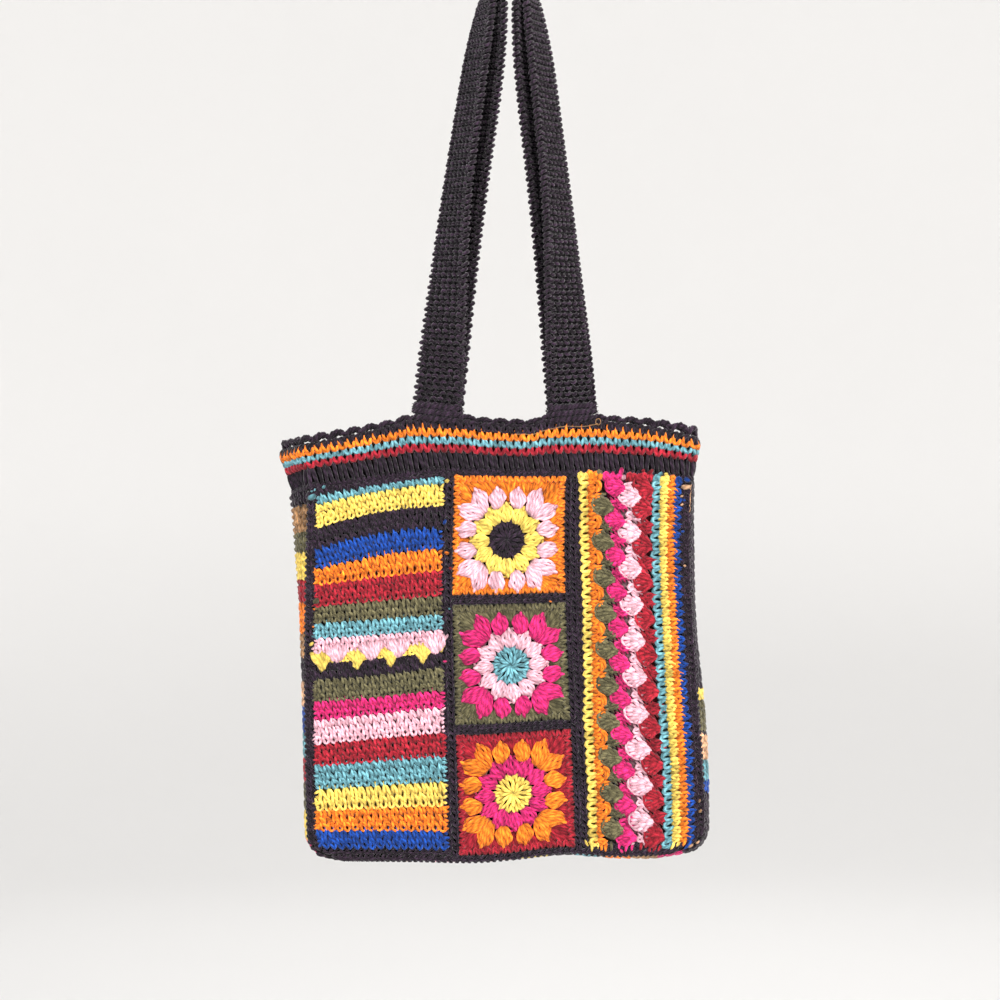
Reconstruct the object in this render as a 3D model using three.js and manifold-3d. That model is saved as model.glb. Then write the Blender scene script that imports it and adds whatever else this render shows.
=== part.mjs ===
// A crocheted shoulder bag, hanging empty by its two straps from a peg.
// Millimetres, +Z up, the front faces -Y, +X is to the right of someone who faces the bag.
// The origin is where the straps lie on the peg: the underside of the inner strap's bend.
//
// The bag is put together from separately worked pieces: a front of five patches (one striped, three
// flower squares, one of vertical rows) held in a black border, a back of one striped patch in its own
// border, a striped gusset round both sides and the bottom, a band round the mouth with an openwork
// edging on top, and two straps. The front strap lies over the back strap on the peg.
import * as THREE from "three";
import { mergeVertices } from "three/addons/utils/BufferGeometryUtils.js";
import Module from "manifold-3d";

const wasm = await Module();
wasm.setup();

// The crochet itself
const fabric = 4; // thickness of every panel
const gap = 0.3; // between pieces that are sewn together
const seamGap = 0.5; // between the band and the panels below it
const crown = 0.9; // how far a stripe of rows stands up in its middle
const fineness = 0.05; // corners that shape a surface by less than this are left out

// Patches of the front and the black borders that join them
const stripePatchWidth = 100.6;
const squareWidth = 92;
const shellPatchWidth = 84;
const sideBorder = 8;
const joinBorder = 10;
const squareHeight = 95.6;
const squareJoin = 7.1;
const topBorder = 1.4;
const bottomBorder = 4.7; // under the squares
const patchBottomBorder = 9.5; // under the two tall patches
const bodyWidth = 2 * sideBorder + 2 * joinBorder + stripePatchWidth + squareWidth + shellPatchWidth;
const bodyHeight = topBorder + 3 * squareHeight + 2 * squareJoin + bottomBorder;

// The bag's form
const bagDepth = 46; // front face to back face at the side seams
const mouthDepth = 32; // front face to back face between the straps
const cornerRadius = 20; // of both faces, at the bottom
const gussetInset = 1.5; // the gusset's outer face inside the outline, so that the seams stand out
const gussetBow = 2.2; // how far the gusset bellies out between its seams
const bodyShift = -6.8; // the body's middle beside the peg
const mouthShift = -15.6; // the mouth's middle beside the peg
const mouthWidth = 332;
const mouthCorner = 8; // radius of the mouth's four corners in plan
const rimSag = 20; // the rim's left end below its straps
const bottomRise = 8; // height of the bottom edge's dips over its lowest place
const ripple = 1.2; // shallow dents of the two faces

// The band and its edging
const bandHeight = 39.5; // at the straps
const edgingHeight = 6.5; // at the straps
const edgingPeriod = 13; // one chain arch
const edgingEye = 2.2; // height of the hole under an arch, beside the straps
const archRise = 1.6; // the arches' tops above the dips between them

// The straps
const strapWidth = 38;
const strapThickness = 6.5;
const strapDrop = 356; // from the peg seat down to the rim
const leftStrapOut = 58; // the straps' feet, left and right of the peg
const rightStrapOut = 49.6;
const pegRadius = 4;
const strapClearance = 0.8; // between the two straps where one lies on the other
const strapSteps = 14; // sections up each strand
const bendSteps = 4; // sections from the side of the peg to its top

// The worked flower: one centre and two rings of petals. Where the petals' middles are and how long and wide
// they are, also towards the corners, as shares of the square's width; from is the first one's angle in degrees.
const centreRadius = 15;
const petalRise = 2.2;
const petals = [
  { count: 12, from: 2, middle: 0.24, long: 0.16, wide: 0.125, cornerLong: 0.16, cornerOut: 0 },
  { count: 16, from: 11.25, middle: 0.38, long: 0.185, wide: 0.135, cornerLong: 0.21, cornerOut: 0.035 },
];

// The outlines of the faces from the rim (level below 0) to the bottom (level 1), as shares of the body's
// width from its middle, and the half depths at the side seams and at the middle, as shares of theirs.
const sections = [
  { level: -0.15, frontLeft: -0.505, frontRight: 0.498, backLeft: -0.578, backRight: 0.504, side: 0.9, middle: 1 },
  { level: 0, frontLeft: -0.489, frontRight: 0.481, backLeft: -0.541, backRight: 0.487, side: 0.94, middle: 1.04 },
  { level: 0.2, frontLeft: -0.492, frontRight: 0.476, backLeft: -0.526, backRight: 0.49, side: 1, middle: 1.12 },
  { level: 0.4, frontLeft: -0.495, frontRight: 0.484, backLeft: -0.513, backRight: 0.495, side: 1, middle: 1.2 },
  { level: 0.6, frontLeft: -0.495, frontRight: 0.496, backLeft: -0.504, backRight: 0.519, side: 1, middle: 1.28 },
  { level: 0.8, frontLeft: -0.492, frontRight: 0.509, backLeft: -0.5, backRight: 0.53, side: 1, middle: 1.36 },
  { level: 1, frontLeft: -0.487, frontRight: 0.514, backLeft: -0.496, backRight: 0.528, side: 1, middle: 1.4375 },
];

// How far the rim and the band's lower seam hang below their height at the straps, as shares of rimSag, and the
// edging's height as a share of that at the straps, across the mouth's width.
const mouthLines = [
  { across: -0.5, rim: 1, seam: 0.9, edging: 1.65 },
  { across: -0.41, rim: 0.72, seam: 0.56, edging: 1.6 },
  { across: -0.31, rim: 0.44, seam: 0.34, edging: 1.4 },
  { across: -0.21, rim: 0.14, seam: 0.14, edging: 1.05 },
  { across: -0.13, rim: 0, seam: 0, edging: 1 },
  { across: -0.06, rim: 0.07, seam: -0.02, edging: 1 },
  { across: 0.02, rim: 0.16, seam: 0, edging: 1 },
  { across: 0.12, rim: 0.2, seam: 0.02, edging: 1 },
  { across: 0.2, rim: 0, seam: 0.02, edging: 1 },
  { across: 0.3, rim: 0.06, seam: 0.06, edging: 1.2 },
  { across: 0.4, rim: 0.18, seam: 0.15, edging: 1.6 },
  { across: 0.5, rim: 0.46, seam: 0.32, edging: 2 },
];

// How far the bottom edges of the two faces rise above the lowest place, across the body's width.
const bottomLines = [
  { across: 0, front: 0.2, back: 0.5 },
  { across: 0.25, front: 0.1, back: 0.5 },
  { across: 0.42, front: 0, back: 0.5 },
  { across: 0.52, front: 0.3, back: 0.5 },
  { across: 0.65, front: 0.85, back: 0.5 },
  { across: 0.76, front: 0.6, back: 0.25 },
  { across: 0.9, front: 0.7, back: 0 },
  { across: 1, front: 1, back: 0.4 },
];

// A strand's way from the rim to the peg: how far it still stands out beside the peg and before it, as shares
// of where it starts, and how far it has turned towards lying flat on the peg, in degrees.
const strandRun = [
  { up: 0, front: 1, back: 1, ahead: 1, turn: 0 },
  { up: 0.08, front: 0.95, back: 0.93, ahead: 0.9, turn: 12 },
  { up: 0.26, front: 0.83, back: 0.74, ahead: 0.7, turn: 36 },
  { up: 0.49, front: 0.65, back: 0.47, ahead: 0.45, turn: 54 },
  { up: 0.71, front: 0.4, back: 0.23, ahead: 0.24, turn: 59 },
  { up: 0.82, front: 0.265, back: 0.13, ahead: 0.14, turn: 62 },
  { up: 0.93, front: 0.1, back: 0.05, ahead: 0.05, turn: 72 },
  { up: 1, front: 0, back: 0, ahead: 0, turn: 90 },
];

// Rows of stitches in each stripe, top to bottom or left to right.
const stripeRows = [1, 3, 3, 3, 3, 3, 2, 2, 2, 1, 2, 2, 2, 3, 3, 3, 3, 3, 2];
const shellRows = [1, 1, 2, 2, 2, 2, 1, 1, 1, 1];
const backStripeRows = [5, 5, 5, 5, 5, 5, 5, 5, 5];

// Smooth value of one column of a table at a place along its key column.
function readTable(table, key, column, at) {
  const last = table.length - 1;
  if (at <= table[0][key]) return table[0][column];
  if (at >= table[last][key]) return table[last][column];
  const i = table.findIndex((row, n) => n < last && at < table[n + 1][key]);
  const slope = (n) => {
    const a = table[Math.max(n - 1, 0)];
    const b = table[Math.min(n + 1, last)];
    return (b[column] - a[column]) / (b[key] - a[key]);
  };
  const span = table[i + 1][key] - table[i][key];
  const t = (at - table[i][key]) / span;
  return (
    table[i][column] * (2 * t ** 3 - 3 * t ** 2 + 1) +
    slope(i) * span * (t ** 3 - 2 * t ** 2 + t) +
    table[i + 1][column] * (3 * t ** 2 - 2 * t ** 3) +
    slope(i + 1) * span * (t ** 3 - t ** 2)
  );
}

const mix = (a, b, t) => a + (b - a) * t;
const spread = (count) => Array.from({ length: count + 1 }, (_, i) => i / count);

// 1 under a strap's foot, where the rim runs level, fading to 0 beside it.
function seatShare(x) {
  const level = strapWidth * 0.55;
  const fade = strapWidth / 3;
  const away = Math.min(Math.abs(x + leftStrapOut), Math.abs(x - rightStrapOut));
  return 1 - THREE.MathUtils.smoothstep(away, level, level + fade);
}

function rimHeight(x) {
  const sag = rimSag * readTable(mouthLines, "across", "rim", (x - mouthShift) / mouthWidth);
  return -strapDrop - sag * (1 - seatShare(x));
}

function edgingAt(x) {
  return edgingHeight * readTable(mouthLines, "across", "edging", (x - mouthShift) / mouthWidth);
}

function seamHeight(x) {
  const sag = rimSag * readTable(mouthLines, "across", "seam", (x - mouthShift) / mouthWidth);
  return -strapDrop - edgingHeight - gap - bandHeight - seamGap - sag;
}

// Half the bag's depth at a place across (0 left, 1 right) and down a face.
function halfDepth(across, level) {
  const side = (bagDepth / 2) * readTable(sections, "level", "side", level);
  const middle = (mouthDepth / 2) * readTable(sections, "level", "middle", level);
  const dents = ripple * Math.sin(3 * Math.PI * across) * Math.sin(Math.PI * Math.min(Math.max(level, 0), 1));
  return mix(middle, side, Math.abs(2 * across - 1) ** 4) - dents * Math.sin(2 * Math.PI * level + 1);
}

// The outline's place at a level: x of the face's left and right edges, before the corners are rounded.
function edges(face, level) {
  return ["Left", "Right"].map(
    (hand) => bodyShift + bodyWidth * readTable(sections, "level", face + hand, level),
  );
}

// A point of a face: across 0 to 1, level 0 at the band's seam to 1 at the bottom.
function surfacePoint(face, across, level) {
  const [left, right] = edges(face, level);
  const above = Math.max(0, cornerRadius - (1 - level) * bodyHeight);
  const inset = cornerRadius - Math.sqrt(Math.max(0, cornerRadius ** 2 - above ** 2));
  const x = mix(left, right, across) + inset * (1 - 2 * across) ** 3;
  const lowest = -strapDrop - edgingHeight - gap - bandHeight - seamGap - bodyHeight;
  const bottom = lowest + bottomRise * readTable(bottomLines, "across", face, across);
  const z = mix(seamHeight(x), bottom, level);
  const y = halfDepth(across, level) * (face === "front" ? -1 : 1);
  return new THREE.Vector3(x, y, z);
}

// One closed body from a grid of outer points and a grid of inner points. Cells that are absent leave a
// hole through it, and every open edge gets a wall.
function sheetSolid(rows, columns, outerAt, innerAt, { present = () => true, closed = false } = {}) {
  const line = (at) => (r) => Array.from({ length: columns + (closed ? 0 : 1) }, (_, c) => at(r, c));
  const outer = spread(rows).map((_, r) => line(outerAt)(r));
  const inner = spread(rows).map((_, r) => line(innerAt)(r));
  const wrap = (c) => (closed ? (c + columns) % columns : c);
  const has = (r, c) => r >= 0 && r < rows && (closed || (c >= 0 && c < columns)) && present(r, wrap(c));
  const positions = [];
  const quad = (...corners) => {
    for (const i of [0, 1, 2, 0, 2, 3]) positions.push(...corners[i].toArray());
  };
  for (let r = 0; r < rows; r++) {
    for (let c = 0; c < columns; c++) {
      if (!has(r, c)) continue;
      const n = wrap(c + 1);
      quad(outer[r][c], outer[r + 1][c], outer[r + 1][n], outer[r][n]);
      quad(inner[r][c], inner[r][n], inner[r + 1][n], inner[r + 1][c]);
      if (!has(r - 1, c)) quad(outer[r][c], outer[r][n], inner[r][n], inner[r][c]);
      if (!has(r + 1, c)) quad(outer[r + 1][n], outer[r + 1][c], inner[r + 1][c], inner[r + 1][n]);
      if (!has(r, c - 1)) quad(outer[r + 1][c], outer[r][c], inner[r][c], inner[r + 1][c]);
      if (!has(r, c + 1)) quad(outer[r][n], outer[r + 1][n], inner[r + 1][n], inner[r][n]);
    }
  }
  return solidFrom(positions);
}

// A solid from triangles, nine coordinates each, that all wind the same way.
function solidFrom(positions) {
  const loose = new THREE.BufferGeometry();
  loose.setAttribute("position", new THREE.Float32BufferAttribute(positions, 3));
  const { attributes, index } = mergeVertices(loose, 1e-4);
  const corner = (i) => new THREE.Vector3().fromBufferAttribute(attributes.position, index.getX(i));
  let volume = 0;
  for (let i = 0; i < index.count; i += 3) volume += corner(i).dot(corner(i + 1).cross(corner(i + 2)));
  return new wasm.Manifold(
    new wasm.Mesh({
      numProp: 3,
      vertProperties: attributes.position.array,
      triVerts: volume < 0 ? Uint32Array.from(index.array).reverse() : Uint32Array.from(index.array),
    }),
  );
}

function fromSolid(solid) {
  const { vertProperties, triVerts } = solid.getMesh();
  return new THREE.BufferGeometry()
    .setAttribute("position", new THREE.BufferAttribute(vertProperties, 3))
    .setIndex(new THREE.BufferAttribute(triVerts, 1));
}

// A panel of a face over grid lines across and down it. The relief stands out of its outer side.
function facePanel(face, across, levels, { relief = () => 0, present } = {}) {
  const out = face === "front" ? -1 : 1;
  const point = (r, c, depth) => {
    const p = facePoint(face, across[c], levels[r]);
    p.y -= out * depth;
    return p;
  };
  return sheetSolid(
    levels.length - 1,
    across.length - 1,
    (r, c) => point(r, c, -relief(r, c)),
    (r, c) => point(r, c, fabric),
    { present },
  );
}

// Grid lines from one place to another, through the stops, none further apart than the step.
function gridLines(stops, step) {
  const lines = [stops[0]];
  for (let i = 1; i < stops.length; i++) {
    const count = Math.max(1, Math.ceil((stops[i] - stops[i - 1]) / step - 1e-6));
    for (let n = 1; n <= count; n++) lines.push(mix(stops[i - 1], stops[i], n / count));
  }
  return lines;
}

// The five windows of the front border, as shares across and down the face.
const across = (length) => length / bodyWidth;
const down = (length) => length / bodyHeight;
const stripeWindow = {
  left: across(sideBorder),
  right: across(sideBorder + stripePatchWidth),
  top: down(topBorder),
  bottom: 1 - down(patchBottomBorder),
};
const squareWindows = [0, 1, 2].map((n) => ({
  left: stripeWindow.right + across(joinBorder),
  right: stripeWindow.right + across(joinBorder + squareWidth),
  top: down(topBorder + n * (squareHeight + squareJoin)),
  bottom: down(topBorder + n * (squareHeight + squareJoin) + squareHeight),
}));
const shellWindow = {
  left: squareWindows[0].right + across(joinBorder),
  right: squareWindows[0].right + across(joinBorder + shellPatchWidth),
  top: stripeWindow.top,
  bottom: stripeWindow.bottom,
};
const backWindow = {
  left: across(sideBorder),
  right: 1 - across(sideBorder),
  top: down(topBorder),
  bottom: stripeWindow.bottom,
};

const windows = { front: [stripeWindow, ...squareWindows, shellWindow], back: [backWindow] };
const cornerLevels = [1, 0.55, 0.25, 0.06].map((share) => 1 - down(cornerRadius) * share);
const columnStep = 0.05;
const levelStep = 0.1;

// The grid of each face: lines at the windows' edges and in the corners, and others between them.
function faceGrid(face) {
  const ordered = (list) => list.sort((a, b) => a - b).filter((v, i, all) => i === 0 || v - all[i - 1] > 1e-5);
  const edgesOf = (...sides) => windows[face].flatMap((w) => sides.map((side) => w[side]));
  const columns = gridLines(ordered([0, 1, ...edgesOf("left", "right")]), columnStep);
  const levels = gridLines(ordered([0, 1, ...edgesOf("top", "bottom"), ...cornerLevels]), levelStep);
  const points = levels.map((level) => columns.map((column) => surfacePoint(face, column, level)));
  return { columns, levels, points };
}

const grids = { front: faceGrid("front"), back: faceGrid("back") };

// A point of a face as its grid has it, so that every patch fits its window without a step.
function facePoint(face, across, level) {
  const { columns, levels, points } = grids[face];
  const cell = (lines, at) => {
    const i = Math.min(Math.max(lines.findIndex((line) => line > at) - 1, 0), lines.length - 2);
    const n = at >= lines.at(-1) ? lines.length - 2 : i;
    return [n, (at - lines[n]) / (lines[n + 1] - lines[n])];
  };
  const [c, s] = cell(columns, across);
  const [r, t] = cell(levels, level);
  const upper = points[r][c].clone().lerp(points[r][c + 1], s);
  return upper.lerp(points[r + 1][c].clone().lerp(points[r + 1][c + 1], s), t);
}

// A border: the whole face less its windows.
function border(face) {
  const { columns, levels } = grids[face];
  const inside = (w, a, l) => a > w.left && a < w.right && l > w.top && l < w.bottom;
  return facePanel(face, columns, levels, {
    present: (r, c) => {
      const [a, l] = [mix(columns[c], columns[c + 1], 0.5), mix(levels[r], levels[r + 1], 0.5)];
      return !windows[face].some((w) => inside(w, a, l));
    },
  });
}

// The window less the sewing gap all round.
const patchIn = (w) => ({
  left: w.left + across(gap),
  right: w.right - across(gap),
  top: w.top + down(gap),
  bottom: w.bottom - down(gap),
});

// The face's own grid lines between two places, and a line at each of these.
const linesWithin = (lines, from, to) => [from, ...lines.filter((v) => v > from + 0.01 && v < to - 0.01), to];

// Lines at the edges and the middles of stripes that are so many rows wide.
function stripeLines(from, to, rows) {
  const total = rows.reduce((sum, n) => sum + n, 0);
  const lines = [from];
  let done = 0;
  for (const n of rows) {
    lines.push(mix(from, to, (done + n / 2) / total), mix(from, to, (done + n) / total));
    done += n;
  }
  return lines;
}

// A patch of horizontal stripes, or of vertical ones, each stripe standing up in its middle.
function stripedPatch(face, window, rows, vertical) {
  const w = patchIn(window);
  const { columns: gridColumns, levels: gridLevels } = grids[face];
  const columns = vertical ? stripeLines(w.left, w.right, rows) : linesWithin(gridColumns, w.left, w.right);
  const levels = vertical ? linesWithin(gridLevels, w.top, w.bottom) : stripeLines(w.top, w.bottom, rows);
  return facePanel(face, columns, levels, { relief: (r, c) => ((vertical ? c : r) % 2 ? crown : 0) });
}

// A low raised form on a square: an outline of half sizes long and wide about a middle, in the square's own
// millimetres, mapped on to the face. Its foot is sunk in the fabric and its top is drawn in.
function raised(place, outline, rise) {
  const foot = -fabric / 2;
  const drawnIn = 0.55;
  const ring = (scale, height) =>
    outline.map((p) => place(mix(outline.middle.x, p.x, scale), mix(outline.middle.y, p.y, scale), height));
  const [low, high] = [ring(1, foot), ring(drawnIn, rise)];
  const positions = [];
  const face = (...corners) => corners.forEach((p) => positions.push(...p.toArray()));
  for (let i = 0; i < low.length; i++) {
    const n = (i + 1) % low.length;
    face(low[i], low[n], high[n]);
    face(low[i], high[n], high[i]);
    if (i > 1) face(low[0], low[i], low[i - 1]);
    if (i > 1) face(high[0], high[i - 1], high[i]);
  }
  return solidFrom(positions);
}

function ovalOutline(sides, middle, turn, long, wide) {
  const outline = Array.from({ length: sides }, (_, i) => {
    const a = (2 * Math.PI * i) / sides;
    const p = new THREE.Vector2((Math.cos(a) * long) / 2, (Math.sin(a) * wide) / 2);
    return p.rotateAround(new THREE.Vector2(), turn).add(middle);
  });
  outline.middle = middle;
  return outline;
}

// A flower square: a flat patch with a round centre and two rings of petals.
function flowerSquare(window) {
  const w = patchIn(window);
  const middle = { across: (w.left + w.right) / 2, level: (w.top + w.bottom) / 2 };
  const place = (x, y, height) => {
    const p = facePoint("front", middle.across + across(x), middle.level - down(y));
    p.y -= height;
    return p;
  };
  const { columns, levels } = grids.front;
  let solid = facePanel("front", linesWithin(columns, w.left, w.right), linesWithin(levels, w.top, w.bottom));
  const add = (outline) => {
    solid = solid.add(raised(place, outline, petalRise));
  };
  add(ovalOutline(10, new THREE.Vector2(), 0, 2 * centreRadius, 2 * centreRadius));
  for (const ring of petals) {
    for (let n = 0; n < ring.count; n++) {
      const angle = THREE.MathUtils.degToRad(ring.from + (360 / ring.count) * n);
      const towardsCorner = Math.sin(2 * angle) ** 2;
      const out = squareWidth * (ring.middle + ring.cornerOut * towardsCorner);
      const middlePoint = new THREE.Vector2(Math.cos(angle), Math.sin(angle)).multiplyScalar(out);
      const long = squareWidth * mix(ring.long, ring.cornerLong, towardsCorner);
      add(ovalOutline(5, middlePoint, angle, long, squareWidth * ring.wide));
    }
  }
  return solid;
}

// The gusset: a strip between the two faces, down the left side, along the bottom and up the right side.
function gusset() {
  const { levels } = grids.front;
  const alongBottom = gridLines([0, 1], 2 * columnStep).slice(1, -1);
  const route = [
    ...levels.map((level) => [0, level]),
    ...alongBottom.map((a) => [a, 1]),
    ...[...levels].reverse().map((level) => [1, level]),
  ];
  const depthLines = [0, 0.5, 1];
  const seam = (face, i) => facePoint(face, ...route[Math.min(Math.max(i, 0), route.length - 1)]);
  // Pulled in from the outline, square to it in the plane of the face, and laid against the face there.
  const pulledIn = (face, i, inset) => {
    const along = seam(face, i + 1).sub(seam(face, i - 1)).setY(0).normalize();
    const p = seam(face, i).add(new THREE.Vector3(-along.z, 0, along.x).multiplyScalar(inset));
    const [left, right] = edges(face, route[i][1]);
    const level = route[i][1] - (route[i][0] % 1 ? down(inset) : 0);
    p.y = (halfDepth((p.x - left) / (right - left), level) - fabric - gap) * (face === "front" ? -1 : 1);
    return p;
  };
  const bowed = (i, k, inset) => {
    const deeper = inset - gussetBow * Math.sin(Math.PI * depthLines[k]);
    return pulledIn("front", i, deeper).lerp(pulledIn("back", i, deeper), depthLines[k]);
  };
  return sheetSolid(
    route.length - 1,
    depthLines.length - 1,
    (i, k) => bowed(i, k, gussetInset),
    (i, k) => bowed(i, k, gussetInset + fabric),
  );
}

// The mouth's loop in plan at a level above the seam: the corners are rounded, the rest follows the faces.
function mouthLoop(level) {
  const [frontLeft, frontRight] = edges("front", level);
  const [backLeft, backRight] = edges("back", level);
  const side = halfDepth(0, level);
  const faceRun = (left, right, out) =>
    spread(60).map((t) => {
      const x = mix(left + mouthCorner, right - mouthCorner, t);
      return new THREE.Vector2(x, out * halfDepth((x - left) / (right - left), level));
    });
  const front = faceRun(frontLeft, frontRight, -1);
  const back = faceRun(backLeft, backRight, 1).reverse();
  const end = (fromPoint, cornerA, cornerB, toPoint) => {
    const sideUnit = cornerB.clone().sub(cornerA).normalize().multiplyScalar(mouthCorner);
    const arcA = new THREE.QuadraticBezierCurve(fromPoint, cornerA, cornerA.clone().add(sideUnit));
    const arcB = new THREE.QuadraticBezierCurve(cornerB.clone().sub(sideUnit), cornerB, toPoint);
    return [...arcA.getPoints(6).slice(1), ...arcB.getPoints(6).slice(0, -1)];
  };
  const corner = (x, out) => new THREE.Vector2(x, out * side);
  return [
    ...front,
    ...end(front.at(-1), corner(frontRight, -1), corner(backRight, 1), back[0]),
    ...back,
    ...end(back.at(-1), corner(backLeft, 1), corner(frontLeft, -1), front[0]),
  ];
}

// Evenly spaced stations round a closed loop, each with its outward direction.
function stations(loop, count) {
  const ring = [...loop, loop[0]];
  const reached = [0];
  for (let i = 1; i < ring.length; i++) reached.push(reached[i - 1] + ring[i].distanceTo(ring[i - 1]));
  const total = reached.at(-1);
  const at = (s) => {
    const wanted = (((s % 1) + 1) % 1) * total;
    const i = Math.max(1, reached.findIndex((r) => r >= wanted));
    return ring[i - 1].clone().lerp(ring[i], (wanted - reached[i - 1]) / (reached[i] - reached[i - 1] || 1));
  };
  return Array.from({ length: count }, (_, n) => {
    const along = at((n + 0.4) / count).sub(at((n - 0.4) / count)).normalize();
    return { point: at(n / count), out: new THREE.Vector2(along.y, -along.x) };
  });
}

const seatLoop = mouthLoop(sections[0].level);
const loopLength = seatLoop.reduce((sum, p, i) => sum + p.distanceTo(seatLoop[(i + 1) % seatLoop.length]), 0);
const archCount = 2 * Math.round(loopLength / edgingPeriod / 2);
const columnsPerArch = 3;

// A ring of the mouth, in rows that are shares of its height.
function mouthRing(rows, columns, levelAt, heightAt, present) {
  const rings = rows.map((row) => stations(mouthLoop(levelAt(row)), columns));
  const point = (r, c, inward) => {
    const { point: p, out } = rings[r][c];
    const q = p.clone().addScaledVector(out, -inward);
    return new THREE.Vector3(q.x, q.y, heightAt(rows[r], c, q.x));
  };
  return sheetSolid(
    rows.length - 1,
    columns,
    (r, c) => point(r, c, 0),
    (r, c) => point(r, c, fabric),
    { present, closed: true },
  );
}

const bandShare = bandHeight / (bandHeight + edgingHeight);

function band() {
  const top = (x) => rimHeight(x) - edgingAt(x) - gap;
  const bottom = (x) => seamHeight(x) + seamGap;
  return mouthRing(
    [0, 1],
    archCount * columnsPerArch,
    (row) => sections[0].level * bandShare * row,
    (row, c, x) => mix(bottom(x), top(x), row),
  );
}

// The edging: chain arches over small eyes, plain where the straps stand on it.
function edging() {
  const columns = archCount * columnsPerArch;
  const loop = stations(seatLoop, columns);
  const plain = (c) => seatShare(loop[c % columns].point.x) > 0;
  const plainArch = (c) => {
    const first = c - (c % columnsPerArch);
    return [0, 1, 2, 3].some((n) => plain(first + n));
  };
  const rows = [0, 0.36, 0.64, 1];
  const swell = [0.15, 1, 0.15]; // of the eye at the arch's three columns
  const dip = [0.6, 0, 0.6]; // of the arch's top there
  return mouthRing(
    rows,
    columns,
    (row) => sections[0].level * mix(bandShare, 1, row),
    (row, c, x) => {
      const rim = rimHeight(x);
      const place = (c + 2) % columnsPerArch;
      const eye = (edgingEye / 2) * swell[place] * (edgingAt(x) / edgingHeight);
      if (row === rows[0]) return rim - edgingAt(x);
      if (row === rows[3]) return rim - (plainArch(c) ? 0 : archRise * dip[place]);
      return rim - edgingAt(x) / 2 + (row === rows[1] ? -eye : eye);
    },
    (r, c) => r !== 1 || c % columnsPerArch === 0 || plainArch(c),
  );
}

// A strap's centre, its width direction and its outward direction at a step, from its left foot over the peg
// to its right foot.
function strapSection(face, step) {
  const half = strapSteps + bendSteps;
  const side = step < half ? -1 : 1;
  const fromFoot = Math.min(step, 2 * half - step);
  const over = face === "front" ? 1.5 * strapThickness + strapClearance : 0.5 * strapThickness;
  const radius = pegRadius + over;
  if (fromFoot > strapSteps) {
    const angle = ((fromFoot - strapSteps) / bendSteps) * (Math.PI / 2);
    const centre = new THREE.Vector3(side * radius * Math.cos(angle), 0, -pegRadius + radius * Math.sin(angle));
    return { centre, wide: new THREE.Vector3(0, 1, 0) };
  }
  const up = fromFoot / strapSteps;
  const foot = side < 0 ? leftStrapOut : rightStrapOut;
  const ahead = (mouthDepth / 2) * sections[0].middle - fabric / 2;
  const x = side * mix(radius, foot, readTable(strandRun, "up", face, up));
  const y = ahead * readTable(strandRun, "up", "ahead", up) * (face === "front" ? -1 : 1);
  const z = mix(-strapDrop + gap, -pegRadius, up);
  const turn = THREE.MathUtils.degToRad(readTable(strandRun, "up", "turn", up));
  return { centre: new THREE.Vector3(x, y, z), wide: new THREE.Vector3(side * Math.cos(turn), Math.sin(turn), 0) };
}

function strap(face) {
  const count = 2 * (strapSteps + bendSteps);
  const edge = strapThickness * 0.3; // the long edges are rounded off by this much
  const [w, t] = [strapWidth / 2, strapThickness / 2];
  const outline = [
    [-w + edge, -t], [w - edge, -t], [w, -t + edge], [w, t - edge],
    [w - edge, t], [-w + edge, t], [-w, t - edge], [-w, -t + edge],
  ];
  const rings = Array.from({ length: count + 1 }, (_, step) => {
    const { centre, wide } = strapSection(face, step);
    const along = strapSection(face, Math.min(step + 1, count)).centre.sub(
      strapSection(face, Math.max(step - 1, 0)).centre,
    );
    if (step === 0 || step === count) along.set(0, 0, step ? -1 : 1);
    along.normalize();
    wide.addScaledVector(along, -wide.dot(along)).normalize();
    const out = along.clone().cross(wide);
    return outline.map(([p, q]) => centre.clone().addScaledVector(wide, p).addScaledVector(out, q));
  });
  const positions = [];
  const face3 = (...corners) => corners.forEach((p) => positions.push(...p.toArray()));
  for (let i = 0; i < count; i++) {
    for (let k = 0; k < outline.length; k++) {
      const n = (k + 1) % outline.length;
      const [a, b, c, d] = [rings[i][k], rings[i][n], rings[i + 1][n], rings[i + 1][k]];
      // Both sides are split the same way, so that the strap keeps its thickness where it twists.
      if (outline[k][1] < 0) {
        face3(a, b, c);
        face3(a, c, d);
      } else {
        face3(a, b, d);
        face3(b, c, d);
      }
    }
  }
  for (let k = 2; k < outline.length; k++) {
    face3(rings[0][0], rings[0][k], rings[0][k - 1]);
    face3(rings[count][0], rings[count][k - 1], rings[count][k]);
  }
  return solidFrom(positions);
}

const yarnColours = {
  black: 0x2b2529,
  orange: 0xf27a1c,
  olive: 0x6c6a45,
  darkRed: 0xa52a36,
  yellow: 0xf0d34a,
  hotPink: 0xe22f7e,
  blue: 0x2549b4,
};

const bag = new THREE.Group();

function piece(name, solid, yarn) {
  const geometry = fromSolid(solid.asOriginal().simplify(fineness));
  geometry.computeVertexNormals();
  const material = new THREE.MeshStandardMaterial({ color: yarnColours[yarn], roughness: 0.95, metalness: 0 });
  const mesh = new THREE.Mesh(geometry, material);
  mesh.name = name;
  bag.add(mesh);
}

piece("front_border", border("front"), "black");
piece("stripe_patch", stripedPatch("front", stripeWindow, stripeRows, false), "yellow");
["top", "middle", "bottom"].forEach((place, n) => {
  piece(`flower_square_${place}`, flowerSquare(squareWindows[n]), ["orange", "olive", "darkRed"][n]);
});
piece("shell_patch", stripedPatch("front", shellWindow, shellRows, true), "hotPink");
piece("back_border", border("back"), "black");
piece("back_patch", stripedPatch("back", backWindow, backStripeRows, false), "blue");
piece("gusset", gusset(), "olive");
piece("mouth_band", band(), "orange");
piece("rim_edging", edging(), "black");
piece("front_strap", strap("front"), "black");
piece("back_strap", strap("back"), "black");

export default bag;
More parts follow.
